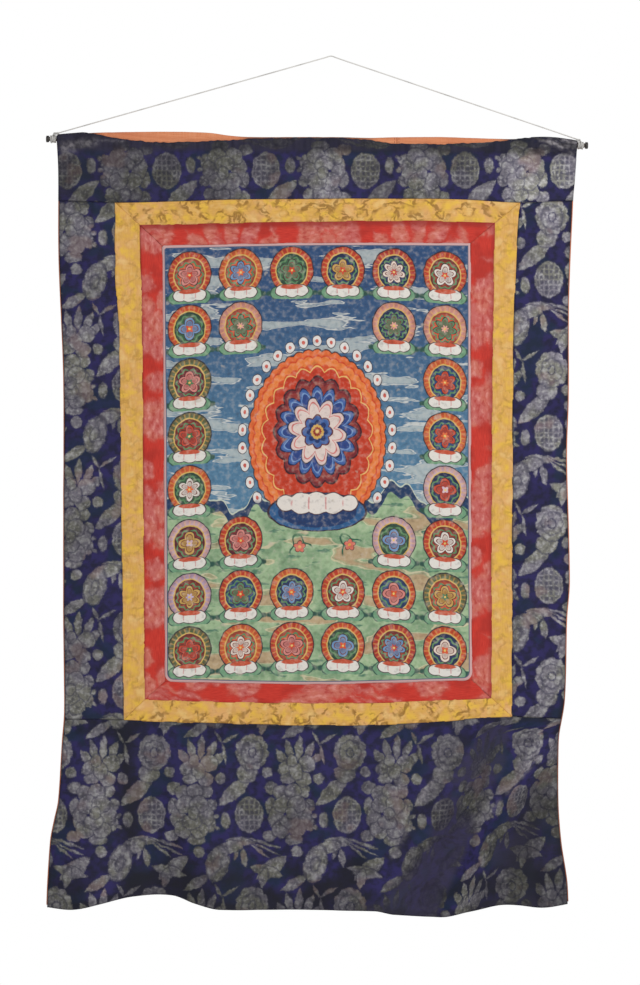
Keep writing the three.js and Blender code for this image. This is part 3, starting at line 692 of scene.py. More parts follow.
# %% Folds in shade and creases in light
# From x, z to x, z, then how far the shade or the light reaches and how strong it is.
SHADED = [
    (-0.288, -0.955, -0.279, -1.092, 0.014, 0.9), (-0.356, -1.063, -0.320, -1.094, 0.011, 0.6),
    (-0.232, -1.140, -0.180, -1.170, 0.016, 0.9), (0.188, -0.956, 0.092, -1.118, 0.012, 0.7),
    (-0.170, -1.010, -0.215, -1.100, 0.010, 0.5), (0.040, -1.128, -0.030, -1.180, 0.014, 0.6),
    (0.300, -1.010, 0.262, -1.120, 0.014, 0.7), (-0.350, -0.945, -0.270, -0.940, 0.007, 0.7)]
CREASES = [
    (0.292, -0.1190, 0.304, -0.1205, 0.0016, 0.5), (0.304, -0.1205, 0.322, -0.1283, 0.0028, 0.9),
    (0.325, -0.1180, 0.340, -0.1215, 0.0024, 0.8), (0.327, -0.1270, 0.331, -0.1290, 0.0022, 0.6),
    (0.336, -0.1360, 0.338, -0.1700, 0.0040, 0.3), (-0.372, -0.1260, -0.330, -0.1215, 0.0050, 0.42),
    (-0.374, -0.1330, -0.362, -0.1345, 0.0050, 0.42), (-0.320, -0.1190, -0.290, -0.1200, 0.0020, 0.25),
    (0.288, -0.9800, 0.246, -1.0300, 0.0036, 0.55), (0.156, -0.9960, 0.122, -1.0420, 0.0040, 0.35),
    (0.236, -1.0420, 0.224, -1.0620, 0.0040, 0.30), (0.108, -1.0800, 0.086, -1.1180, 0.0040, 0.25)]


def from_line(x, z, x0, z0, x1, z1):
    """Distance to a straight line between two points."""
    along = np.array([x1 - x0, z1 - z0])
    share = np.clip(((x - x0) * along[0] + (z - z0) * along[1]) / (along @ along), 0, 1)
    return np.hypot(x - x0 - share * along[0], z - z0 - share * along[1])


def strokes(x, z, rows):
    """The sum of soft strokes: each falls off as a bell curve to both sides of its line."""
    return sum(strength * bump(from_line(x, z, *line), 0, reach) for *line, reach, strength in rows)


def deep_shade(x, z):
    """Where the ground is dark: in folds, along the hem, and in the two slanting bands."""
    soft = 0.5 + 0.5 * rumple(x, z, 71, 0.05)
    hem_zone = (0.25 + 0.5 * soft) * ramp(hem(x) + 0.085 - z, 0, 0.07)
    hem_zone += 0.5 * ramp(hem(x) + 0.012 - z, 0, 0.008)
    bands = ramp(-z, 0.935, 0.955) * (0.45 * ramp(x - ridge(z), 0.01, 0.05) - 0.6 * in_sheen_band(x, z))
    under_frame = bump(z, bottom_seam(x) - 0.003, 0.004) * 0.7
    sides = 0.9 * (1 - ramp(cloth_right(z) - x, 0.002, 0.009))
    sides += 0.6 * (1 - ramp(x - cloth_left(z), 0.001, 0.006))
    return np.clip(strokes(x, z, SHADED) + hem_zone + bands + under_frame + sides + 0.15 * soft, 0, 1)


def caught_light(x, z):
    """Sharp creases that catch the light, broken up by the cloth's own unevenness."""
    return np.clip(strokes(x, z, CREASES) * (0.8 + 0.25 * rumple(x, z, 88, 0.012)), 0, 1)


def creased(x, z):
    """The same creases as low ridges, one millimetre high."""
    return 0.001 * caught_light(x, z)


def swallowed(x, z):
    """The slanting folds take up cloth: the pattern runs faster across each of them."""
    share = ramp(x - sheen_band_middle(z), -0.035, 0.025) + ramp(x - ridge(z), -0.01, 0.05)
    return (share * ramp(-z, 0.930, 0.95))[..., None] * np.array([0.024, -0.014])


# The brocade's painted sheen, painted shade and painted highlights, each a value for each point.
PAINTED_LIGHT = {"glow": painted_sheen, "shade": deep_shade, "lit": caught_light}


# %% Side and bottom panels
def brocade_left(z):
    return cloth_left(z) + LINING_SHOW


def brocade_right(z):
    return cloth_right(z) - LINING_SHOW


SEWN = {"pucker": 0.0004, "uneven": 0.0005}
LOOSE = {"pucker": 0.0005, "uneven": 0.0006, "slip": swallowed}
PANELS = {
    "left": ((brocade_left, yellow_left, top_seam, bottom_seam), (0.085, 0.728), (0.0025, 0.0025),
             {"seed": 301, "centre": (-0.4235, -0.2478), "free": ("left",), **SEWN}),
    "right": ((yellow_right, brocade_right, top_seam, bottom_seam), (0.076, 0.725), (0.0025, 0.0025),
              {"seed": 321, "centre": (0.3045, -0.3136), "free": ("right",), **SEWN}),
    "bottom": ((brocade_left, brocade_right, bottom_seam, hem), (0.720, 0.268), (0.0026, 0.0025),
               {"seed": 341, "centre": (-0.1148, -1.0626), "free": ("left", "right", "bottom"), **LOOSE})}
panels = {}
for side, (lines, cut, step, sewn) in PANELS.items():
    panel = panels[side] = lay_piece(f"brocade_{side}_panel", edges_of(*lines), step, BROCADE,
                                     worn=PAINTED_LIGHT, relief=creased, **sewn)
    stand_in(panel, "brocade_" + side)
    print(side, "panel faces:", len(panel.data.polygons))

# %% [markdown]
# ## The sleeve
#
# The top panel climbs over the rod and is sewn down there by an uneven line. The lining goes
# right over the rod and down the whole back. Both are swept from one profile that changes
# from left to right: level cloth below, and half an oval over the rod.

# %% Sleeve profile
# At x: the lining's crown over the rod's axis, and how high the brocade's edge reaches.
SLEEVE = [
    (-0.385, 0.0046, 0.012), (-0.363, 0.007, 0.014), (-0.346, 0.0085, 0.010),
    (-0.323, 0.0099, 0.0055), (-0.279, 0.0112, -0.001), (-0.245, 0.012, -0.0033),
    (-0.197, 0.0122, -0.0024), (-0.166, 0.011, -0.0004), (-0.144, 0.008, 0.0004),
    (-0.113, 0.0062, 0.003), (-0.043, 0.007, 0.005), (0.012, 0.0075, 0.0054),
    (0.055, 0.007, 0.003), (0.080, 0.008, -0.0006), (0.152, 0.0094, -0.0012),
    (0.195, 0.0086, 0.0008), (0.236, 0.0078, 0.0035), (0.253, 0.0078, 0.0065),
    (0.276, 0.0088, 0.0095), (0.300, 0.0098, 0.014), (0.321, 0.0086, 0.014),
    (0.346, 0.0046, 0.012)]
ROD_GAP, SLEEVE_SLACK = 0.0003, 0.0006
SLEEVE_END, CLOSED, FRONT_END = -0.046, -0.034, -0.026
WRAP = math.radians(80)
crown_line = smooth_line(*[(x, crown) for x, crown, _ in SLEEVE])
brocade_line = smooth_line(*[(x, brocade) for x, _, brocade in SLEEVE])


def crown(x):
    """Height of the lining's top over the rod's axis."""
    return np.maximum(crown_line(x), ROD / 2 + ROD_GAP + LINING)


def half_opening(h):
    """Half the sleeve's width at a height over the rod's axis: it closes below the rod."""
    return LINING_GAP / 2 + (ROD / 2 + ROD_GAP - LINING_GAP / 2) * ramp(h, CLOSED, 0)


def front_leg(h):
    """Room for the lining's front layer, which ends below the rod."""
    return (LINING + SLEEVE_SLACK) * ramp(h, SLEEVE_END, FRONT_END)


def between(left, right, share):
    """From left to right by a share."""
    return left * (1 - share) + right * share


def run_along(points):
    """Length of cloth from the first row of a grid to each of its rows."""
    steps = np.linalg.norm(np.diff(points[..., 1:], axis=1), axis=-1)
    return np.concatenate([np.zeros((len(points), 1)), np.cumsum(steps, axis=1)], axis=1)


# %% Top panel: its outline
TOP_COLUMNS, TOP_ROWS, EDGE_ROWS = 320, 34, 14
LINING_EDGE, KNEE = 0.0002, 0.005
share = np.linspace(0, 1, TOP_COLUMNS + 1)[:, None]
x_axis = between(cloth_left(ROD_LEVEL), cloth_right(ROD_LEVEL), share)
axis = rod_axis(x_axis)
seam_x = between(brocade_left(-0.203), brocade_right(-0.203), share)
seam_h = top_seam(seam_x) - axis
rise = crown(x_axis) + SLEEVE_SLACK + BROCADE / 2
edge_ripple = 0.00035 * ripples(x_axis, 77, 0.05, 0.010)
top_h = np.minimum(brocade_line(x_axis) + edge_ripple, rise * math.sin(WRAP))
knee = np.minimum(0, top_h) - KNEE
down = np.linspace(0, 1, TOP_ROWS + 1)[None, :]
up = np.sin(np.linspace(0, 1, EDGE_ROWS + 1)[None, 1:] * math.pi / 2)
h = np.concatenate([between(seam_h, knee, down), knee + (top_h - knee) * up], axis=1)
z = axis + h
x = between(cloth_left(z) + LINING_EDGE, cloth_right(z) - LINING_EDGE, share)
print("the top panel is", round(1000 * float((z.max(1) - z.min(1)).max())), "mm high")

# %% Top panel: its depth
reach = ROD / 2 + ROD_GAP + LINING + SLEEVE_SLACK + BROCADE / 2
oval = reach * np.sqrt(np.clip(1 - (h / rise) ** 2, 0, 1))
flat = drape(x, z) + half_opening(h) + front_leg(h) + BROCADE / 2
below = z - top_seam(x)
crumple = ramp(x, 0.290, 0.335) * ramp(h, -0.040, -0.004)
depth = np.where(h > 0, oval, flat) + CROWN - 0.0011 * np.exp(-below / 0.0022) + creased(x, z)
depth += 0.0005 * ripples(x, 83, 0.05, 0.009) * fading(below, 0.012, 0.002)
depth += 0.0004 * rumple(x, z, 84, UNEVEN) * ramp(below, 0, 0.02)
depth += 0.0005 * ripples(x, 85, 0.03, 0.006) * bump(h, -0.004, 0.010)
depth += 0.0014 * crumple * np.abs(rumple(x, z, 86, 0.018))
points = np.stack([x, -depth, z], -1)
climbed = z[:, :1] + run_along(points)

# %% Top panel: its pattern, painted sheen and painted shade
TOP_CENTRE, TOP_PULL = (-0.2296, -0.1604), 0.985
uv = -np.stack([(x - TOP_CENTRE[0]) * TOP_PULL, climbed - TOP_CENTRE[1]], -1)
# Painted shade: the top of the panel just under the lining's edge is shaded and its metal dimmed, the
# crumpled right end is shaded with painted highlights on its crests, and the left end is shaded.
high = ramp(h, -0.020, -0.008)
folded = ramp(x, 0.250, 0.300) * ramp(h, -0.026, -0.008)
crest = np.clip(rumple(x + 1.3 * z, 2.5 * (z - 0.25 * x), 87, 0.016), 0, 2)
in_shade = 0.85 * high + folded * (0.3 - 0.35 * crest) + 0.3 * ramp(-x, 0.26, 0.34)
top_panel = add_grid("brocade_top_panel", points, uv, extra={
    "glow": 0.93 * painted_sheen(x, z) * (1 - 0.55 * high) * (1 - 0.5 * folded) + 0.35 * folded * crest,
    "shade": np.clip(in_shade + deep_shade(x, z) * ramp(-h, 0.01, 0.03), 0, 1),
    "lit": caught_light(x, z),
    "from_edge": np.minimum(below, top_h - h)})
thicken(top_panel, BROCADE * PRESSED)
stand_in(top_panel, "brocade_top")
panels["top"] = top_panel
print("top panel faces:", len(top_panel.data.polygons))

# %% Lining: its rows, from the front hem over the rod and down the back
COLUMNS, FRONT_ROWS, OVER_ROWS, BACK_ROWS, BODY_ROWS = 150, 8, 26, 14, 208
FRONT_HEM, HEM_UP, HEM_LEVEL = -0.024, 0.003, -1.19
share = np.linspace(0, 1, COLUMNS + 1)[:, None]
edge_x = between(cloth_left(ROD_LEVEL), cloth_right(ROD_LEVEL), share)
axis = rod_axis(edge_x)
turn = np.linspace(0, math.pi, OVER_ROWS)[None, :]
front_h = 0 * share + np.linspace(FRONT_HEM, -0.001, FRONT_ROWS)
over_h = (crown(edge_x) - LINING / 2) * np.sin(turn)
back_h = 0 * share + np.linspace(-0.002, SLEEVE_END, BACK_ROWS)
hem_h = hem(between(cloth_left(HEM_LEVEL), cloth_right(HEM_LEVEL), share)) + HEM_UP - axis
body_h = SLEEVE_END + (hem_h - SLEEVE_END) * np.linspace(0, 1, BODY_ROWS)[None, 1:]
h = np.concatenate([front_h, over_h, back_h, body_h], axis=1)
z = axis + h
x = between(cloth_left(z), cloth_right(z), share)

# %% Lining: its depth
NEARBY = 0.002
half = LINING / 2
y_front = -half_opening(front_h) - half
y_over = -(ROD / 2 + ROD_GAP + half) * np.cos(turn) + 0 * over_h
y_back = half_opening(back_h) + half
body_x, body_z = x[:, 1 - BODY_ROWS:], z[:, 1 - BODY_ROWS:]
slope = (drape(body_x + NEARBY, body_z) - drape(body_x - NEARBY, body_z)) / (2 * NEARBY)
room = (LINING_GAP / 2 + half) * np.sqrt(1 + slope ** 2) + 0.0008 * ramp(np.abs(slope), 0.15, 0.6)
y = np.concatenate([y_front, y_over, y_back, room - drape(body_x, body_z)], axis=1)
on_back = np.arange(h.shape[1])[None, :] > FRONT_ROWS + OVER_ROWS
y = y + on_back * np.maximum(0.0009 * rumple(x, z, 91, 0.06), -0.0002) * ramp(-h, 0.02, 0.08)
y = y + 0.0004 * ripples(x, 92, 0.06, 0.010) * np.exp(-np.abs(h - crown(x)) / 0.006) * (y < 0)
points = np.stack([x, y, z], -1)
fallen = run_along(points)
SLEEVE_SEAM = 1000 * float(fallen[:, FRONT_ROWS + OVER_ROWS + BACK_ROWS - 2].mean())
print("the sleeve is sewn", round(SLEEVE_SEAM), "mm down the lining from its front hem")

# %% Lining: its edges and painted shade
from_side = np.minimum(share, 1 - share) * 0.72
shown_above = crown(x) - np.minimum(brocade_line(x), crown(x) * 0.98)
# Painted shade where only a sliver of the lining shows above the brocade's edge, and along its right side
# lower down.
tucked = (1 - ramp(shown_above, 0.0015, 0.0060)) * (h > -0.01) * (y < 0.002)
tucked = np.maximum(tucked, 0.7 * ramp(share, 0.99, 0.995) * ramp(-z, 0.78, 0.88))
lining = add_grid("lining", points, np.stack([x, fallen], -1),
                  extra={"from_edge": from_side + 0 * h, "tucked": tucked})
thicken(lining, LINING)
stand_in(lining, "back_lining")
print("lining faces:", len(lining.data.polygons))

# %% [markdown]
# ## Finishes as sums
#
# A finish is a graph of nodes. Drawing it by hand takes long, so here a socket is wrapped in a
# small class, and an ordinary sum on such values adds the nodes that work it out. Colour is
# laid in coats, as a dyer or painter would: each coat has the share of the surface that it
# covers, and its colour as a screen shows it. Lengths in the patterns are in millimetres of
# cloth, because a weaver would measure them so.

# %% A socket that can be used in sums
def srgb(red, green, blue):
    """A linear colour from the three values, 0 to 255, that a screen shows."""
    values = [value / 255 for value in (red, green, blue)]
    linear = [v / 12.92 if v <= 0.04045 else ((v + 0.055) / 1.055) ** 2.4 for v in values]
    return (*linear, 1)


def worked(operation):
    """A method that adds the node for one operation on a value and whatever follows it."""
    return lambda self, *others: self.math(operation, *others)


class Value:
    """What one socket of a finish gives, used in sums as a number would be."""

    def __init__(self, finish, socket):
        self.finish, self.socket = finish, socket

    def math(self, operation, *others):
        return self.finish.add("ShaderNodeMath", {"operation": operation},
                               dict(enumerate((self,) + others)))

    __add__ = __radd__ = worked("ADD")
    __mul__ = __rmul__ = worked("MULTIPLY")
    __sub__, __truediv__, __abs__ = worked("SUBTRACT"), worked("DIVIDE"), worked("ABSOLUTE")
    least, most, cos = worked("MINIMUM"), worked("MAXIMUM"), worked("COSINE")
    angle_to, rounded, floor = worked("ARCTAN2"), worked("ROUND"), worked("FLOOR")

    def __neg__(self):
        return self * -1

    def __rsub__(self, other):
        return -self + other

    def wrap(self, size):
        """Shift by whole sizes to between minus half and half of the size."""
        return self.math("WRAP", size / 2, -size / 2)

    def step(self, low, high):
        """Smoothly from 0 at low to 1 at high, or from 1 to 0 where low is the higher."""
        first, last = min(low, high), max(low, high)
        rising = self.finish.add("ShaderNodeMapRange", {"interpolation_type": "SMOOTHSTEP"},
                                 {0: self, 1: first, 2: last})
        return rising if low < high else 1 - rising


# %% A finish
class Finish:
    """A material under construction."""

    def __init__(self, name):
        self.material = bpy.data.materials.new(name)
        self.material.use_nodes = True
        self.nodes, self.links = self.material.node_tree.nodes, self.material.node_tree.links
        self.nodes.clear()

    def add(self, kind, settings=None, inputs=None, output=0):
        """Add a node of a kind. Its settings come first, a ramp's tones among them, then the
        values or links of its inputs, by name or number."""
        node = self.nodes.new(kind)
        settings = dict(settings or {})
        tones = settings.pop("tones", None)
        if tones:
            stops = node.color_ramp
            stops.interpolation = "CONSTANT"
            stops.elements.remove(stops.elements[1])
            stops.elements[0].color = srgb(*tones[0])
            for k, tone in enumerate(tones[1:], 1):
                stops.elements.new(k / len(tones)).color = srgb(*tone)
        for key, value in settings.items():
            setattr(node, key, value)
        for key, value in (inputs or {}).items():
            if isinstance(value, Value):
                self.links.new(value.socket, node.inputs[key])
            else:
                node.inputs[key].default_value = value
        return Value(self, node.outputs[output]) if node.outputs else None

    def vector(self, operation, *inputs, output=0):
        return self.add("ShaderNodeVectorMath", {"operation": operation}, dict(enumerate(inputs)), output)

    def scale(self, vector, by):
        return self.add("ShaderNodeVectorMath", {"operation": "SCALE"}, {"Vector": vector, "Scale": by})

    def length(self, vector):
        return self.vector("LENGTH", vector, output=1)

    def cloth(self):
        """Millimetres along and across the cloth, from its UV map."""
        return self.vector("MULTIPLY", self.add("ShaderNodeUVMap", {"uv_map": "cloth"}), (1000, 1000, 0))

    def split(self, vector):
        parts = self.add("ShaderNodeSeparateXYZ", None, {0: vector}).socket.node
        return Value(self, parts.outputs[0]), Value(self, parts.outputs[1])

    def join(self, x, y):
        return self.add("ShaderNodeCombineXYZ", None, {0: x, 1: y})

    def noise(self, at, scale, detail=2.0, stretch=(1, 1, 1), output=0):
        """Soft noise about 1 / scale wide. Its middle is 0.5."""
        stretched = self.vector("MULTIPLY", at, stretch)
        return self.add("ShaderNodeTexNoise", None,
                        {"Vector": stretched, "Scale": scale, "Detail": detail}, output)

    def waver(self, at, scale, detail, reach):
        """The place, moved along and across by up to the reach with a soft noise."""
        return self.vector("MULTIPLY_ADD", self.noise(at, scale, detail, output=1), (reach, reach, 0), at)

    def chance(self, vector, dimensions="2D"):
        """A random value from 0 to 1, the same wherever the vector is the same."""
        return self.add("ShaderNodeTexWhiteNoise", {"noise_dimensions": dimensions}, {"Vector": vector})

    def attribute(self, name):
        return self.add("ShaderNodeAttribute", {"attribute_name": name}, None, "Fac")

    def pick(self, value, *tones):
        """One of the tones for each equal part of the way of a value from 0 to 1."""
        return self.add("ShaderNodeValToRGB", {"tones": tones}, {0: value})

    def coats(self, base, *coats, where=None):
        """Lay coats over a base, each a share and a tone, and all of them only where told."""
        colour = base if isinstance(base, Value) else srgb(*base)
        for share, tone in coats:
            share = where * share if where else share
            tone = tone if isinstance(tone, Value) else srgb(*tone)
            colour = self.add("ShaderNodeMix", {"data_type": "RGBA"}, {0: share, 6: colour, 7: tone}, 2)
        return colour

    def surface(self, colour, roughness, height=None, lift=0.0001, metallic=0.0, shine=0.5):
        """The shader itself. Height bumps its normals by up to lift metres."""
        inputs = {"Base Color": colour, "Roughness": roughness, "Metallic": metallic,
                  "Specular IOR Level": shine}
        if height is not None:
            inputs["Normal"] = self.add("ShaderNodeBump", None, {"Height": height, "Distance": lift})
        shader = self.add("ShaderNodeBsdfPrincipled", None, inputs)
        self.add("ShaderNodeOutputMaterial", None, {"Surface": shader})

    def dress(self, *pieces):
        for piece in pieces:
            piece.data.materials.clear()
            piece.data.materials.append(self.material)
        print(self.material.name, "has", len(self.nodes), "nodes")


# %% [markdown]
# ## Woven figures
#
# The brocade repeats one group of figures every 137 by 214 mm: a lattice roundel, a peony, a
# lotus, a round blossom on a gourd-shaped leaf, ribbons and pearls. Each is built from ovals
# and pointed leaves. For every shape the graph works out how far a point lies outside it, and
# the figures are where the least of those distances is below zero. A second sum also clears a
# thin line around each shape that is laid over others: there the petals part.

# %% Ovals and leaves
class Figures:
    """Figures laid over each other: how far, in millimetres, a point lies outside them all,
    and how far outside their parted petals."""

    def __init__(self, finish, line=1.3):
        self.finish, self.line, self.outside, self.parted = finish, line, None, None

    def lay(self, distance):
        """Join one more shape, and part it from those that it lies on."""
        if self.outside is None:
            self.outside = self.parted = distance
        else:
            self.outside = self.outside.least(distance)
            self.parted = self.parted.most(self.line - distance).least(distance)
        return distance

    def local(self, at, x, y, turn, scale=(1, 1)):
        """Coordinates on a shape whose middle is at x, y, turned by degrees."""
        return self.finish.add("ShaderNodeMapping", {"vector_type": "TEXTURE"}, {
            "Vector": at, "Location": (x, y, 0), "Rotation": (0, 0, math.radians(turn)),
            "Scale": (*scale, 1)})

    def beyond(self, vector, wide, high):
        """Outside a unit circle, times the smaller of the half widths that it stands for."""
        return self.lay(self.finish.length(vector).math("MULTIPLY_ADD", min(wide, high), -min(wide, high)))

    def oval(self, at, x, y, wide, high, turn=0):
        """Outside an oval: its scaled radius less one, times its smaller half width."""
        return self.beyond(self.local(at, x, y, turn, (wide, high)), wide, high)

    def leaf(self, at, x, y, long, wide, turn=0):
        """Outside a pointed leaf: two equal circles cross at its tips, and this is the
        distance outside the nearer one. Long and wide are half of its size."""
        radius = (long ** 2 + wide ** 2) / (2 * wide)
        folded = self.finish.vector("ABSOLUTE", self.local(at, x, y, turn))
        shifted = self.finish.vector("ADD", folded, (0, radius - wide, 0))
        return self.lay(self.finish.length(shifted) - radius)

    def ring(self, at, x, y, reach, count, wide, high, tall=1.0, turn=0):
        """A ring of petals: the angle is wrapped to one petal's share of the round, so that
        one oval, as far out as reach, stands for them all."""
        spot = self.local(at, x, y, turn, (1, tall))
        across, up = self.finish.split(spot)
        angle = across.angle_to(up).wrap(2 * math.pi / count)
        out = (self.finish.length(spot) - reach) * (1 / high)
        return self.beyond(self.finish.join(angle * (reach / wide), out), wide, high)

    def around(self, at, middle, width, height):
        """The repeat that lies around a middle: coordinates wrapped to its window."""
        most = (middle[0] + width / 2, middle[1] + height / 2, 1)
        least = (middle[0] - width / 2, middle[1] - height / 2, -1)
        return self.finish.vector("WRAP", at, most, least)


# %% The brocade's repeat
PEONY = [
    (31, 38, 10, 9, 0), (31, 12, 8, 12, 0), (84, 14, 8, 9, 0), (83, -12, 8, 11, 0),
    (29, -29, 10, 8, 20), (63, -34, 12, 8, 0), (76, 34, 10, 10, 0), (45, 31, 11, 11, 10),
    (61, 33, 11, 11, -10), (38, -4, 11, 15, 0), (76, 2, 12, 17, 0), (45, -20, 13, 12, -20),
    (68, -21, 12, 11, 20), (48, 15, 13, 12, 20), (67, 15, 12, 12, -20), (57, -9, 13, 10, 0),
    (59, 3, 7, 8, 0)]
LOTUS = [
    (46, 80, 14, 6, 125), (56, 90, 16, 5.5, 105), (70, 94, 18, 5.5, 85), (84, 90, 15, 5.5, 65),
    (92, 78, 13, 6, 40)]
BUDS = [
    (56, 53, 13, 9, 20), (76, 50, 11, 10, 0), (50, 66, 11, 8, 40), (81, 72, 12, 12, 0),
    (66, 62, 9, 12, 10), (60, 76, 7, 8, 0)]
SPRIGS = [
    (-35, 85, 15, 2.6, 101), (-43, 108, 10, 2.4, 118), (-27, 107, 14, 2.6, 32),
    (-20, 34, 31, 10.5, 42)]
RIBBONS = [
    (-12, -37, 21, 6, -4), (22, -40, 27, 2.2, -18), (24, -48, 22, 1.8, -24),
    (-7, -60, 14, 5, 100), (-18, -54, 9, 3, 78), (14, -50, 17, 2.2, -38), (-73, -95, 22, 7, 32)]
IVY = [(31, -75, 27, 11, 38), (24, -79, 25, 8, -14), (20, -88, 15, 6, 78)]

# Around each middle: kinds of shapes and their rows, in the order in which they are laid.
GROUPS = [
    ((60, 20), [("leaf", LOTUS), ("oval", PEONY + BUDS)]),
    ((0, 60), [
        ("leaf", SPRIGS), ("oval", [(-3, 58, 15, 13)]),
        ("ring", [(4, 88, 16.5, 11, 6.6, 6.8, 1.1), (4, 87, 9.5, 8, 4.6, 5.4, 1.1)]),
        ("oval", [(4, 87, 5, 5.6), (-40, 51, 7.5, 7.5), (25, 60, 7.5, 7.5)])]),
    ((-25, -80), [
        ("leaf", RIBBONS), ("oval", [(-26, -45, 17, 9, 10), (-44, -68, 16, 26, -14)]),
        ("ring", [(-44, -68, 10.5, 9, 4.6, 4.4, 1.7, -14)]), ("oval", [(-45, -69, 5, 9, -14)])]),
    ((45, -60), [("leaf", IVY), ("oval", [(67, -51, 8, 8)])]),
    ((0, 0), [("oval", [(-33, -7, 6.5, 11, 0), (-46, -1, 4, 3, 30), (-49, 10, 3.5, 2.5, 0),
                        (-45, -17, 4, 2.5, -30)])])]
LATTICE = (6.8, 7.2, 1.35)
DISC = (0, 0, 20, 25.5)
RING = 3.0


def brocade_figures(finish, at):
    """How far outside the figures, and outside their parted petals, a point lies. At counts
    from the middle of a roundel. Its lattice parts where a point is off both sets of bars."""
    figures = Figures(finish)
    for middle, shapes in GROUPS:
        window = figures.around(at, middle, REPEAT[0] * 1000, REPEAT[1] * 1000)
        for kind, rows in shapes:
            for row in rows:
                getattr(figures, kind)(window, *row)
    x, y = finish.split(window)
    bars = (abs(x.wrap(LATTICE[0])) - LATTICE[2]).least(abs(y.wrap(LATTICE[1])) - LATTICE[2])
    holes = (figures.oval(window, *DISC) + RING).most(-bars)
    return figures.outside, figures.parted.most(-holes)


print("leaves and petals in one repeat:", len(PEONY + LOTUS + BUDS + SPRIGS + RIBBONS + IVY))

# %% Brocade
def weave(finish, at, warp, weft):
    """A height from 0 to 1: two crossing sets of rounded threads, warp and weft mm apart."""
    x, y = finish.split(at)
    return ((x * (2 * math.pi / warp)).cos() + (y * (2 * math.pi / weft)).cos()) * 0.25 + 0.5


def make_brocade():
    """Navy satin with figures in dull silver thread. Their outline wavers, steps from thread
    to thread and frays by a random share of a thread. Glow paints sheen on the metal, brighter
    or darker, and a pale haze on the satin where it is low; shade paints shadow over both; lit
    is a painted highlight where a crease catches the light."""
    finish = Finish("blue_brocade")
    at = finish.cloth()
    glow, shade = finish.attribute("glow"), finish.attribute("shade")
    drawn = finish.vector("SUBTRACT", finish.waver(at, 0.10, 3, 7.0), (3.5, 3.5, 0))
    drawn = finish.vector("SNAP", drawn, (0.45, 0.45, 1))
    fray = finish.chance(drawn)
    outside, parted = brocade_figures(finish, drawn)
    figure = (outside + fray * 1.8).step(1.6, 0.2)
    line = (parted + fray).step(-0.9, 1.5)

    slub = finish.noise(at, 0.5, stretch=(0.12, 2.2, 1))
    tint, fleck, blot = finish.noise(at, 0.02), finish.noise(at, 0.24), finish.noise(at, 0.085, 4)
    warm = finish.noise(finish.vector("ADD", at, (310, 170, 0)), 0.022)
    # The floats of metal thread: their crowns get a painted highlight, and the gaps between them darken
    # where the navy ground shows through and painted shade lies.
    floats = weave(finish, at, 1.9, 0.62)
    silver = finish.coats(
        (106, 105, 95), (tint.step(0.42, 0.56), (108, 104, 114)),
        (blot.step(0.50, 0.66) * 0.6, (156, 155, 154)), (blot.step(0.49, 0.34) * 0.6, (54, 53, 62)),
        (fleck.step(0.52, 0.70) * 0.40, (176, 175, 176)), (fleck.step(0.48, 0.32) * 0.40, (48, 48, 58)),
        (line * 0.72, (42, 40, 62)), (warm.step(0.56, 0.66) * 0.4, (122, 96, 92)),
        (floats.step(0.60, 1.00) * 0.30, (150, 149, 150)), (floats.step(0.50, 0.05) * 0.45, (40, 40, 50)))
    # Painted shade darkens the ground, and where glow is low a pale haze of painted sheen lies on the
    # satin.
    ground = finish.coats(
        (27, 26, 54), (blot.step(0.38, 0.60), (43, 37, 90)), (slub.step(0.35, 0.65) * 0.35, (46, 44, 88)),
        (tint.step(0.48, 0.40) * 0.6, (20, 42, 64)), (shade * 0.85, (25, 25, 36)),
        (glow.step(0.72, 0.30) * (slub * 0.8 + 0.3), (55, 51, 74)))
    caught = finish.attribute("lit") * (fleck.step(0.34, 0.60) * 0.7 + floats * 0.35 + 0.2)
    # Painted shade along every edge and seam of a panel, broken up by the flecks.
    edge = finish.attribute("from_edge").step(0.0026, 0.0) * (fleck.step(0.40, 0.60) * 0.4 + 0.1)
    # Glow paints sheen on the silver figures and fades them where it is low; painted shade and painted
    # highlights go over them.
    colour = finish.coats(
        ground, (figure * glow.step(-0.05, 0.62), finish.scale(silver, glow)),
        (shade * 0.30, (20, 20, 28)), (caught, (150, 145, 149)), (edge, (20, 20, 30)))
    finish.surface(colour, 0.60 - figure * 0.12, weave(finish, at, 0.5, 0.62), lift=0.00012,
                   metallic=figure * 0.25, shine=0.22)
    return finish


make_brocade().dress(*panels.values())

# %% [markdown]
# ## Red and yellow silk
#
# The red silk carries the same kind of figures in a paler, pinkish thread, so large that a
# strip shows only parts of them. The yellow silk is small figured: only the outlines of its
# figures show, as soft brown lines that come and go where the silk has worn.

# %% Red silk
THREAD, LIFT, SATIN = 0.42, 0.00008, 0.25


def make_red_silk():
    """Deep red satin. The figures are nearly twice as large as the brocade's, and their pale
    thread is broken by small lighter and darker dabs."""
    finish = Finish("red_silk")
    at = finish.cloth()
    outside, parted = brocade_figures(finish, finish.scale(finish.waver(at, 0.07, 3, 22), 0.52))
    figure = (outside + finish.noise(at, 0.7) * 3).step(4.2, -1.4)
    slub = finish.noise(at, 0.6, stretch=(0.15, 2.0, 1))
    cloud = finish.noise(at, 0.03)
    dab = finish.noise(at, 0.13, 3, (0.75, 1.25, 1))
    pale = finish.coats(
        (204, 114, 97), (cloud.step(0.40, 0.60), (200, 104, 98)),
        (dab.step(0.50, 0.70) * 0.8, (226, 150, 140)), (dab.step(0.48, 0.32) * 0.8, (178, 62, 54)),
        (parted.step(-0.6, 1.0) * 0.45, (184, 60, 50)))
    colour = finish.coats(
        (190, 44, 33), (slub.step(0.3, 0.7), (212, 60, 45)), (cloud.step(0.45, 0.65) * 0.6, (168, 40, 30)),
        (figure * 0.92, pale), (finish.attribute("tucked") * 0.75, (148, 32, 24)),
        (finish.attribute("from_edge").step(0.0022, 0.0) * 0.12, (130, 40, 30)))
    finish.surface(colour, 0.52 - figure * 0.08, weave(finish, at, THREAD, THREAD), LIFT, shine=SATIN)
    return finish


make_red_silk().dress(*red_strips.values())


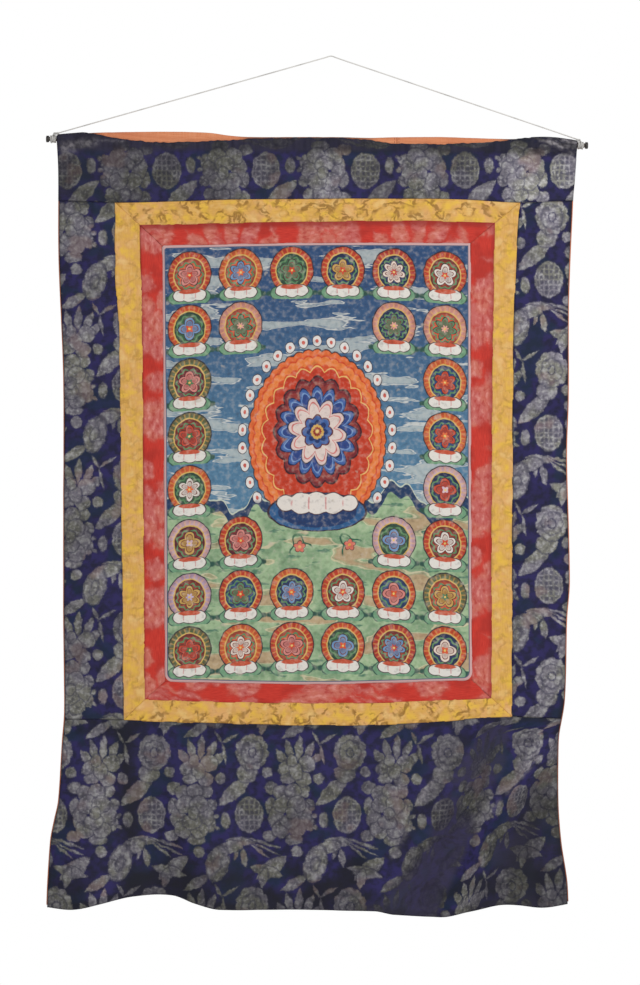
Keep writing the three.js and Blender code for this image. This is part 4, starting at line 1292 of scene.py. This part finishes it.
# %% Yellow silk
def make_yellow_silk():
    """Golden satin. A brown line lies where the distance to a small figure is near zero."""
    finish = Finish("yellow_silk")
    at = finish.cloth()
    outside = brocade_figures(finish, finish.scale(finish.waver(at, 0.09, 4, 20), 1.25))[0]
    worn = finish.noise(at, 0.05).step(0.43, 0.57)
    slub = finish.noise(at, 0.5, stretch=(0.12, 2.0, 1))
    cloud, lemon, speck = finish.noise(at, 0.035, 3), finish.noise(at, 0.06), finish.noise(at, 0.22, 3)
    figured = finish.attribute("figured")
    line = abs(outside + 1).step(3.4, 0.8) * (worn * 0.65 + 0.12) * figured
    colour = finish.coats(
        (214, 160, 80), (slub.step(0.3, 0.7), (228, 178, 92)),
        (cloud.step(0.42, 0.70) * 0.7, (230, 172, 116)),
        (lemon.step(0.45, 0.72) * 0.9, (236, 190, 70)), (lemon.step(0.50, 0.28) * 0.6, (242, 204, 134)),
        (line, (140, 98, 34)), (speck.step(0.54, 0.68) * worn * figured * 0.45, (136, 92, 36)),
        (finish.attribute("from_edge").step(0.0020, 0.0) * 0.15, (186, 132, 72)))
    finish.surface(colour, 0.5, weave(finish, at, THREAD, THREAD), LIFT, shine=SATIN)
    return finish


make_yellow_silk().dress(*yellow_strips.values())

# %% [markdown]
# ## Lining, string and wood
#
# The lining is a plain orange cotton with visible threads and a few faded and soiled places.
# The string is undyed cotton, and grey where hands have held it. The rod is a dull weathered
# stick, and its caps are almost black.

# %% Lining
STITCH, STITCH_WIDTH = 5.0, 0.55
JOIN_AT, HEM_STITCHES, JOIN_STITCHES = 92, 7, 3


def stitches(across, along):
    """Running stitches of one length along a line: across is the distance from it, in mm."""
    dash = abs(along.wrap(STITCH)).step(STITCH * 0.34, STITCH * 0.26)
    return abs(across).step(STITCH_WIDTH, STITCH_WIDTH * 0.4) * dash


def make_lining():
    """Plain cotton. Rolling has left level creases, where a noise of the height alone is near
    its middle value. Running stitches hold the side hems, the sleeve and one upright join."""
    finish = Finish("orange_lining")
    at = finish.cloth()
    x, y = finish.split(at)
    slub = finish.noise(at, 0.4, 3, (0.1, 2.4, 1))
    warp = finish.noise(at, 0.4, 3, (2.4, 0.1, 1))
    cloud, stain = finish.noise(at, 0.008, 4), finish.noise(at, 0.02, 4)
    # A crease is a dip in the bump and a darker line in the colour; the darker line is painted shade.
    crease = abs(finish.noise(at, 0.020, stretch=(0.10, 1, 1)) - 0.5).step(0.035, 0.0)
    from_edge = finish.attribute("from_edge")
    side, join = from_edge * 1000, abs(x - JOIN_AT)
    seam = join.step(1.2, 0.2).most(abs(y - SLEEVE_SEAM).step(1.4, 0.2) * 0.7)
    sewn = stitches(side - HEM_STITCHES, y).most(stitches(y - SLEEVE_SEAM, x))
    sewn = sewn.most(stitches(join - JOIN_STITCHES, y))
    # Tucked paints shade on the lining where the brocade's edge nearly hides it.
    colour = finish.coats(
        (216, 130, 88), (slub.step(0.3, 0.7), (232, 152, 108)),
        (warp.step(0.35, 0.75) * 0.5, (236, 166, 126)),
        (cloud.step(0.48, 0.68) * 0.4, (206, 116, 80)), (stain.step(0.62, 0.74) * 0.35, (150, 96, 70)),
        (crease * 0.22, (176, 92, 60)), (seam * 0.55, (150, 74, 48)), (sewn * 0.8, (128, 58, 40)),
        (from_edge.step(0.006, 0.0) * 0.5, (196, 108, 82)),
        (finish.attribute("tucked") * 0.8, (92, 52, 38)))
    height = weave(finish, at, 0.8, 0.8) * 0.4 - crease * 0.8 - seam * 1.2 + side.step(8.5, 6.5) * 0.8
    finish.surface(colour, 0.85, height, lift=0.0004, shine=0.3)
    return finish


make_lining().dress(lining)


# %% String
def make_string(name, soiled):
    """Pale cotton: hair-fine streaks that run along the yarns, and grey handled places."""
    finish = Finish(name)
    at = finish.cloth()
    streak = finish.noise(at, 2.5, stretch=(2.0, 0.4, 1))
    soil = finish.noise(at, 0.03, 3).step(0.45, 0.7) * 0.5 + soiled
    colour = finish.coats(
        (206, 203, 198), (streak.step(0.3, 0.7), (236, 234, 230)), (soil, (150, 148, 146)))
    finish.surface(colour, 0.85, streak, lift=0.00006)
    return finish


make_string("cotton_string", 0.0).dress(cord)
make_string("handled_string", 0.45).dress(*lashings["left"], *lashings["right"])


# %% Wood
def make_wood(name, light, dark, roughness):
    """Long grain: noise drawn out along the stick, with a darker pore here and there."""
    finish = Finish(name)
    at = finish.vector("MULTIPLY", finish.add("ShaderNodeTexCoord", output="Object"), (1000, 1000, 1000))
    grain, pore = finish.noise(at, 1.2, 3, (0.06, 1, 1)), finish.noise(at, 3.0, stretch=(0.15, 1, 1))
    colour = finish.coats(dark, (grain.step(0.35, 0.65), light), (pore.step(0.60, 0.72) * 0.5, dark))
    finish.surface(colour, grain * 0.2 + roughness, grain, lift=0.0002)
    return finish


make_wood("rod_wood", (128, 118, 110), (84, 76, 70), 0.45).dress(rod)
make_wood("cap_wood", (58, 52, 48), (30, 27, 26), 0.3).dress(*caps)

# %% [markdown]
# ## The painting
#
# Mineral colours on primed cotton: a blue sky with clouds, dark blue hills and a green ground.
# On it lie a great lotus wheel in an orange glow, and a border of small lotus roundels on
# white lotus seats. The roundels are one drawing on a wrapped grid. The number of each grid
# field picks its colours and its count of petals, so that hardly two are alike.

# %% Land and sky
def paint_land(finish, at, y):
    """Sky over hills over ground. The hills' edge is a noise of x alone, so it is one line."""
    cloud = finish.noise(at, 0.020, 3, (0.45, 2.4, 1))
    sky = finish.coats(
        (84, 126, 156), (y.step(-40, 290), (44, 76, 118)), (cloud.step(0.55, 0.60) * 0.7, (190, 198, 194)),
        (abs(cloud - 0.56).step(0.014, 0.004) * 0.7, (222, 222, 214)))
    hills = y - (finish.noise(at, 0.014, stretch=(1, 0, 0)) - 0.5) * 190 + 52
    tone, grass = finish.noise(at, 0.03, 3), finish.noise(at, 0.05, 3, (0.6, 2.2, 1))
    earth = finish.noise(at, 0.018, stretch=(0.5, 1.7, 1))
    return finish.coats(
        (128, 158, 122), (tone.step(0.4, 0.6), (158, 184, 144)),
        (grass.step(0.58, 0.66) * 0.8, (60, 110, 92)),
        (earth.step(0.55, 0.60) * 0.7, (196, 152, 118)),
        (abs(earth - 0.56).step(0.012, 0.003) * 0.6, (226, 206, 170)),
        (hills.step(-2, 0.5), sky), (abs(hills + 9).step(9, 7), (30, 58, 96)),
        (abs(hills).step(1.6, 0.6), (196, 204, 188)))


# %% Scallops and small flowers
FIELD = (71.5, 75.0)
SHORE = (-92, -106)


def notches(place, width):
    """From 1 in the middle of each scallop of an edge to 0 between two of them."""
    return abs((place / width).cos())


def paint_flowers(finish, east, north, lot, under, where):
    """A small bloom between four fronds, at a place of its own in each field."""
    radius, spin = finish.length(finish.join(east, north)), east.angle_to(north)
    bloom = radius - abs((spin * 2.5).cos()) * 3.2
    frond = abs(radius - 13 - (spin * 3 + lot * 9).cos() * 5).step(1.9, 1.2)
    frond = frond * (spin + lot * 3).cos().step(-0.5, -0.1)
    return finish.coats(
        under, (frond, (44, 96, 74)), (bloom.step(6.4, 5.6), (74, 44, 52)),
        (bloom.step(5.4, 4.6), (214, 112, 92)), (radius.step(2.6, 1.9), (220, 168, 78)), where=where)


# %% Lotus roundels
def paint_roundels(finish, x, y, under):
    """One field of the grid: a leaf-shaped glow, a disc, a lotus of 4 to 8 petals, a seat."""
    bow = (x * 0.009).cos() * 7 + 36
    right, up = x + FIELD[0] / 2, y - bow
    px, py = right.wrap(FIELD[0]), up.wrap(FIELD[1])
    column, row = (right / FIELD[0]).rounded(), (up / FIELD[1]).rounded()
    number = finish.join(column, row)
    lot, other = finish.chance(number), finish.chance(finish.vector("ADD", number, (7, 3, 5)), "3D")
    outward, upward = abs(column - 0.5), abs(row + 0.5)
    corners = outward.step(0.9, 1.1) * row.step(1.4, 1.6).most(row.step(-1.4, -1.6))
    whole_rows = upward.step(2.9, 3.1).most(row.step(-2.4, -2.6))
    shown = outward.step(1.9, 2.1).most(corners).most(whole_rows) * upward.step(4.2, 3.8)
    east, north = px - (other - 0.5) * 26, py - (lot - 0.5) * 24
    under = paint_flowers(finish, east, north, lot, under, y.step(*SHORE))

    def reach(cx, cy, wide, high):
        return finish.length(finish.join((px - cx) / wide, (py - cy) / high))

    glow = finish.pick(lot, (214, 84, 42), (216, 186, 196), (72, 116, 78), (206, 70, 44), (196, 176, 200),
                       (222, 104, 56), (190, 62, 50), (222, 160, 146))
    disc = finish.pick(other, (120, 44, 48), (44, 74, 120), (60, 96, 70), (150, 60, 44), (38, 56, 96),
                       (206, 92, 60))
    flower = finish.pick((lot + other).math("FRACT"), (226, 218, 208), (200, 160, 84), (214, 132, 124),
                         (110, 150, 190), (232, 214, 200), (88, 132, 96), (196, 74, 52))
    outer, inner = reach(0, 3, 31.5, 33.5), reach(0, 2, 22, 24.5)
    mound = reach(0, -29, 33, 11) * 11 - notches(px, 6.3) * 1.8
    seat = reach(0, -26, 25, 8.5) * 8.5 - notches(px, 5.2) * 2.0
    turn = px.angle_to(py - 2) * (lot * 4 + 4).floor()
    radius = finish.length(finish.join(px, py - 2))
    petals = (radius - abs((turn * 0.5).cos()) * 6.5 + 3.2) * 0.86
    leaves = abs(radius - 17.4 + (turn * 2).cos() * 1.4)
    rays = (px.angle_to(py - 3) * 26).cos().step(0.2, 0.9) * 0.35
    vein = notches(px, 5.2).step(0.25, 0.05) * seat.step(5.5, 4.5)
    return finish.coats(
        under, (mound.step(11.0, 10.2), (46, 84, 74)), (mound.step(10.0, 9.0), (112, 156, 122)),
        (outer.step(1.0, 0.97), (52, 40, 48)), (outer.step(0.95, 0.92), glow),
        (outer.step(0.60, 0.93) * outer.step(0.94, 0.92) * 0.45, (120, 34, 28)),
        (outer.step(0.92, 0.90) * rays, (236, 176, 90)),
        (inner.step(1.06, 1.02), (214, 176, 96)), (inner.step(0.98, 0.95), disc),
        (inner.step(0.62, 0.96) * inner.step(0.97, 0.95) * 0.55, (24, 24, 42)),
        (leaves.step(1.5, 0.9), (96, 138, 96)),
        (petals.step(12.2, 11.4), (60, 34, 40)), (petals.step(11.0, 10.2), flower),
        (petals.step(10.4, 2.0) * petals.step(11.0, 10.2) * 0.45, (110, 44, 50)),
        (abs(petals - 7.4).step(0.8, 0.3), (120, 60, 56)),
        ((radius + turn.cos() * 1.2).step(4.6, 4.0), glow), (radius.step(1.9, 1.3), (232, 196, 110)),
        (seat.step(8.2, 7.6), (70, 48, 60)), (seat.step(7.2, 6.6), (226, 222, 214)),
        (vein * 0.7, (204, 130, 130)), (reach(0, -20.5, 17, 3.6).step(1.0, 0.8), (196, 84, 56)),
        where=shown)


# %% The great lotus wheel
# Middle, half width, half height, count of petals, their depth and phase. Then sizes and tones.
WHEEL = [
    ((0, 34, 97, 126, 44, 0.012), [
        (1.0, (60, 36, 44)), (0.985, (226, 108, 52)), (0.93, (208, 74, 36)), (0.91, (232, 128, 62)),
        (0.83, (214, 82, 40))]),
    ((0, 34, 97, 126, 22, 0.03), [(0.79, (236, 190, 110)), (0.775, (196, 60, 34))]),
    ((0, 44, 60, 76, 16, 0.05), [(1.0, (66, 26, 34)), (0.96, (120, 38, 46)), (0.90, (146, 56, 52))]),
    ((0, 44, 52, 60, 16, 0.12), [
        (0.98, (22, 34, 70)), (0.94, (62, 96, 160)), (0.86, (118, 152, 198)), (0.82, (44, 70, 134))]),
    ((0, 44, 38, 44, 10, 0.16, 0.9), [
        (0.98, (26, 36, 66)), (0.93, (222, 196, 190)), (0.82, (206, 112, 108)), (0.77, (224, 206, 198))]),
    ((0, 44, 22, 24, 8, 0.10), [(0.95, (92, 30, 40)), (0.86, (62, 98, 160)), (0.62, (32, 52, 104))]),
    ((0, 44, 10, 11, 12, 0.05), [
        (0.95, (212, 168, 84)), (0.62, (150, 52, 44)), (0.30, (232, 200, 120))]),
    ((0, -68, 71, 28, 2, 0.0), [(1.0, (54, 38, 52)), (0.95, (44, 92, 140)), (0.78, (30, 58, 104))])]
SOFT = 1.2
PEARLS, PEARL_RING, PEARL_SCALE = 34, 1.085, 108


def paint_wheel(finish, x, y, colour):
    """Rings round one middle. Each is round where its radius is less than its own size, and
    the size of a petal is added by the cosine of the angle without its sign, so that petals
    are full in the middle and meet in a notch."""
    def polar(cx, cy, wide, high):
        across, up = (x - cx) / wide, (y - cy) / high
        return finish.length(finish.join(across, up)), across.angle_to(up)

    def petals(cx, cy, wide, high, count, depth, phase=0.0):
        radius, turn = polar(cx, cy, wide, high)
        return radius + depth - abs((turn * (count / 2) + phase).cos()) * depth * 2

    for shape, rings in WHEEL:
        radius = petals(*shape)
        coats = [(radius.step(size, size - SOFT / shape[2]), tone) for size, tone in rings]
        colour = finish.coats(colour, *coats)
    seat = petals(0, -56, 62, 15, 2, 0.0) * 15 - notches(x, 7.6) * 3.4
    vein = notches(x, 7.6).step(0.22, 0.05) * seat.step(10, 8)
    colour = finish.coats(colour, (seat.step(13.6, 12.8), (70, 44, 56)),
                          (seat.step(12.4, 11.6), (228, 220, 212)), (vein * 0.8, (206, 120, 122)))
    radius, turn = polar(*WHEEL[0][0][:4])
    pearl = finish.join(turn.wrap(2 * math.pi / PEARLS) * PEARL_SCALE, (radius - PEARL_RING) * PEARL_SCALE)
    pearl = finish.length(pearl)
    return finish.coats(
        colour, (pearl.step(7.6, 6.9), (60, 46, 60)), (pearl.step(6.6, 5.9), (226, 222, 218)),
        (pearl.step(2.6, 2.0), (206, 96, 84)), where=y.step(-60, -50))


# %% The canvas
def make_painting():
    """The layers one over another, then hand-drawn waver, worn paint and a bare rim."""
    finish = Finish("painted_canvas")
    flat = finish.cloth()
    at = finish.vector("SUBTRACT", finish.waver(flat, 0.09, 2, 3.2), (1.6, 1.6, 0))
    x, y = finish.split(at)
    colour = paint_wheel(finish, x, y, paint_roundels(finish, x, y, paint_land(finish, at, y)))
    brush, rubbed, rim = finish.noise(flat, 0.14, 4), finish.noise(flat, 0.05, 5), finish.attribute("rim")
    colour = finish.coats(
        colour, (brush.step(0.45, 0.75) * 0.22, (232, 218, 200)),
        (brush.step(0.50, 0.25) * 0.30, (56, 36, 36)),
        (rubbed.step(0.64, 0.72) * 0.5, (196, 184, 168)), (rim.step(0.0050, 0.0042), (88, 96, 120)),
        (rim.step(0.0036, 0.0030), (206, 168, 166)), (rim.step(0.0002, -0.0006), (192, 62, 50)))
    finish.surface(colour, 0.8, weave(finish, flat, 0.7, 0.7), LIFT, shine=0.35)
    return finish


make_painting().dress(canvas)

# %% [markdown]
# ## Light
#
# The light is plain and pale, as in a studio. The world gives an even light from all sides, and
# one large soft lamp at the upper right gives the folds their shade. The backdrop that the
# camera sees is brighter than the light that the world gives, and a Light Path node tells
# the two apart.

# %% World and lamps
scene = bpy.context.scene
scene.view_settings.view_transform = "Standard"
world = bpy.data.worlds.new("studio")
scene.world = world
world.use_nodes = True
background = world.node_tree.nodes["Background"]
path = world.node_tree.nodes.new("ShaderNodeLightPath")
strength = world.node_tree.nodes.new("ShaderNodeMapRange")
WORLD_LIGHT = 0.55
strength.inputs["To Min"].default_value = WORLD_LIGHT
world.node_tree.links.new(path.outputs["Is Camera Ray"], strength.inputs["Value"])
world.node_tree.links.new(strength.outputs["Result"], background.inputs["Strength"])
background.inputs["Color"].default_value = (1, 1, 1, 1)


def add_lamp(name, place, target, size, power):
    """A square area light at a place, turned towards a target."""
    lamp = bpy.data.lights.new(name, "AREA")
    lamp.shape, lamp.size, lamp.energy = "SQUARE", size, power
    holder = bpy.data.objects.new(name, lamp)
    holder.location = place
    towards = np.array(target) - np.array(place)
    level = math.hypot(towards[0], towards[1])
    heading = math.atan2(towards[1], towards[0])
    holder.rotation_euler = (math.atan2(level, -towards[2]), 0, heading - math.pi / 2)
    bpy.context.collection.objects.link(holder)
    return holder


add_lamp("key", (1.6, -2.4, 0.5), (0, 0, -0.6), 0.8, 42)
add_lamp("back_fill", (-1.0, 2.6, 0.2), (0, 0, -0.6), 1.6, 40)
print("lamps:", [lamp.name for lamp in bpy.data.lights])

# %% Floor finish
paper = Finish("pale_floor")
grain = paper.noise(paper.add("ShaderNodeTexCoord", output="Object"), 3.0, 3)
paper.surface(paper.coats((232, 231, 229), (grain, (240, 239, 237))), 0.9)
paper.dress(floor)
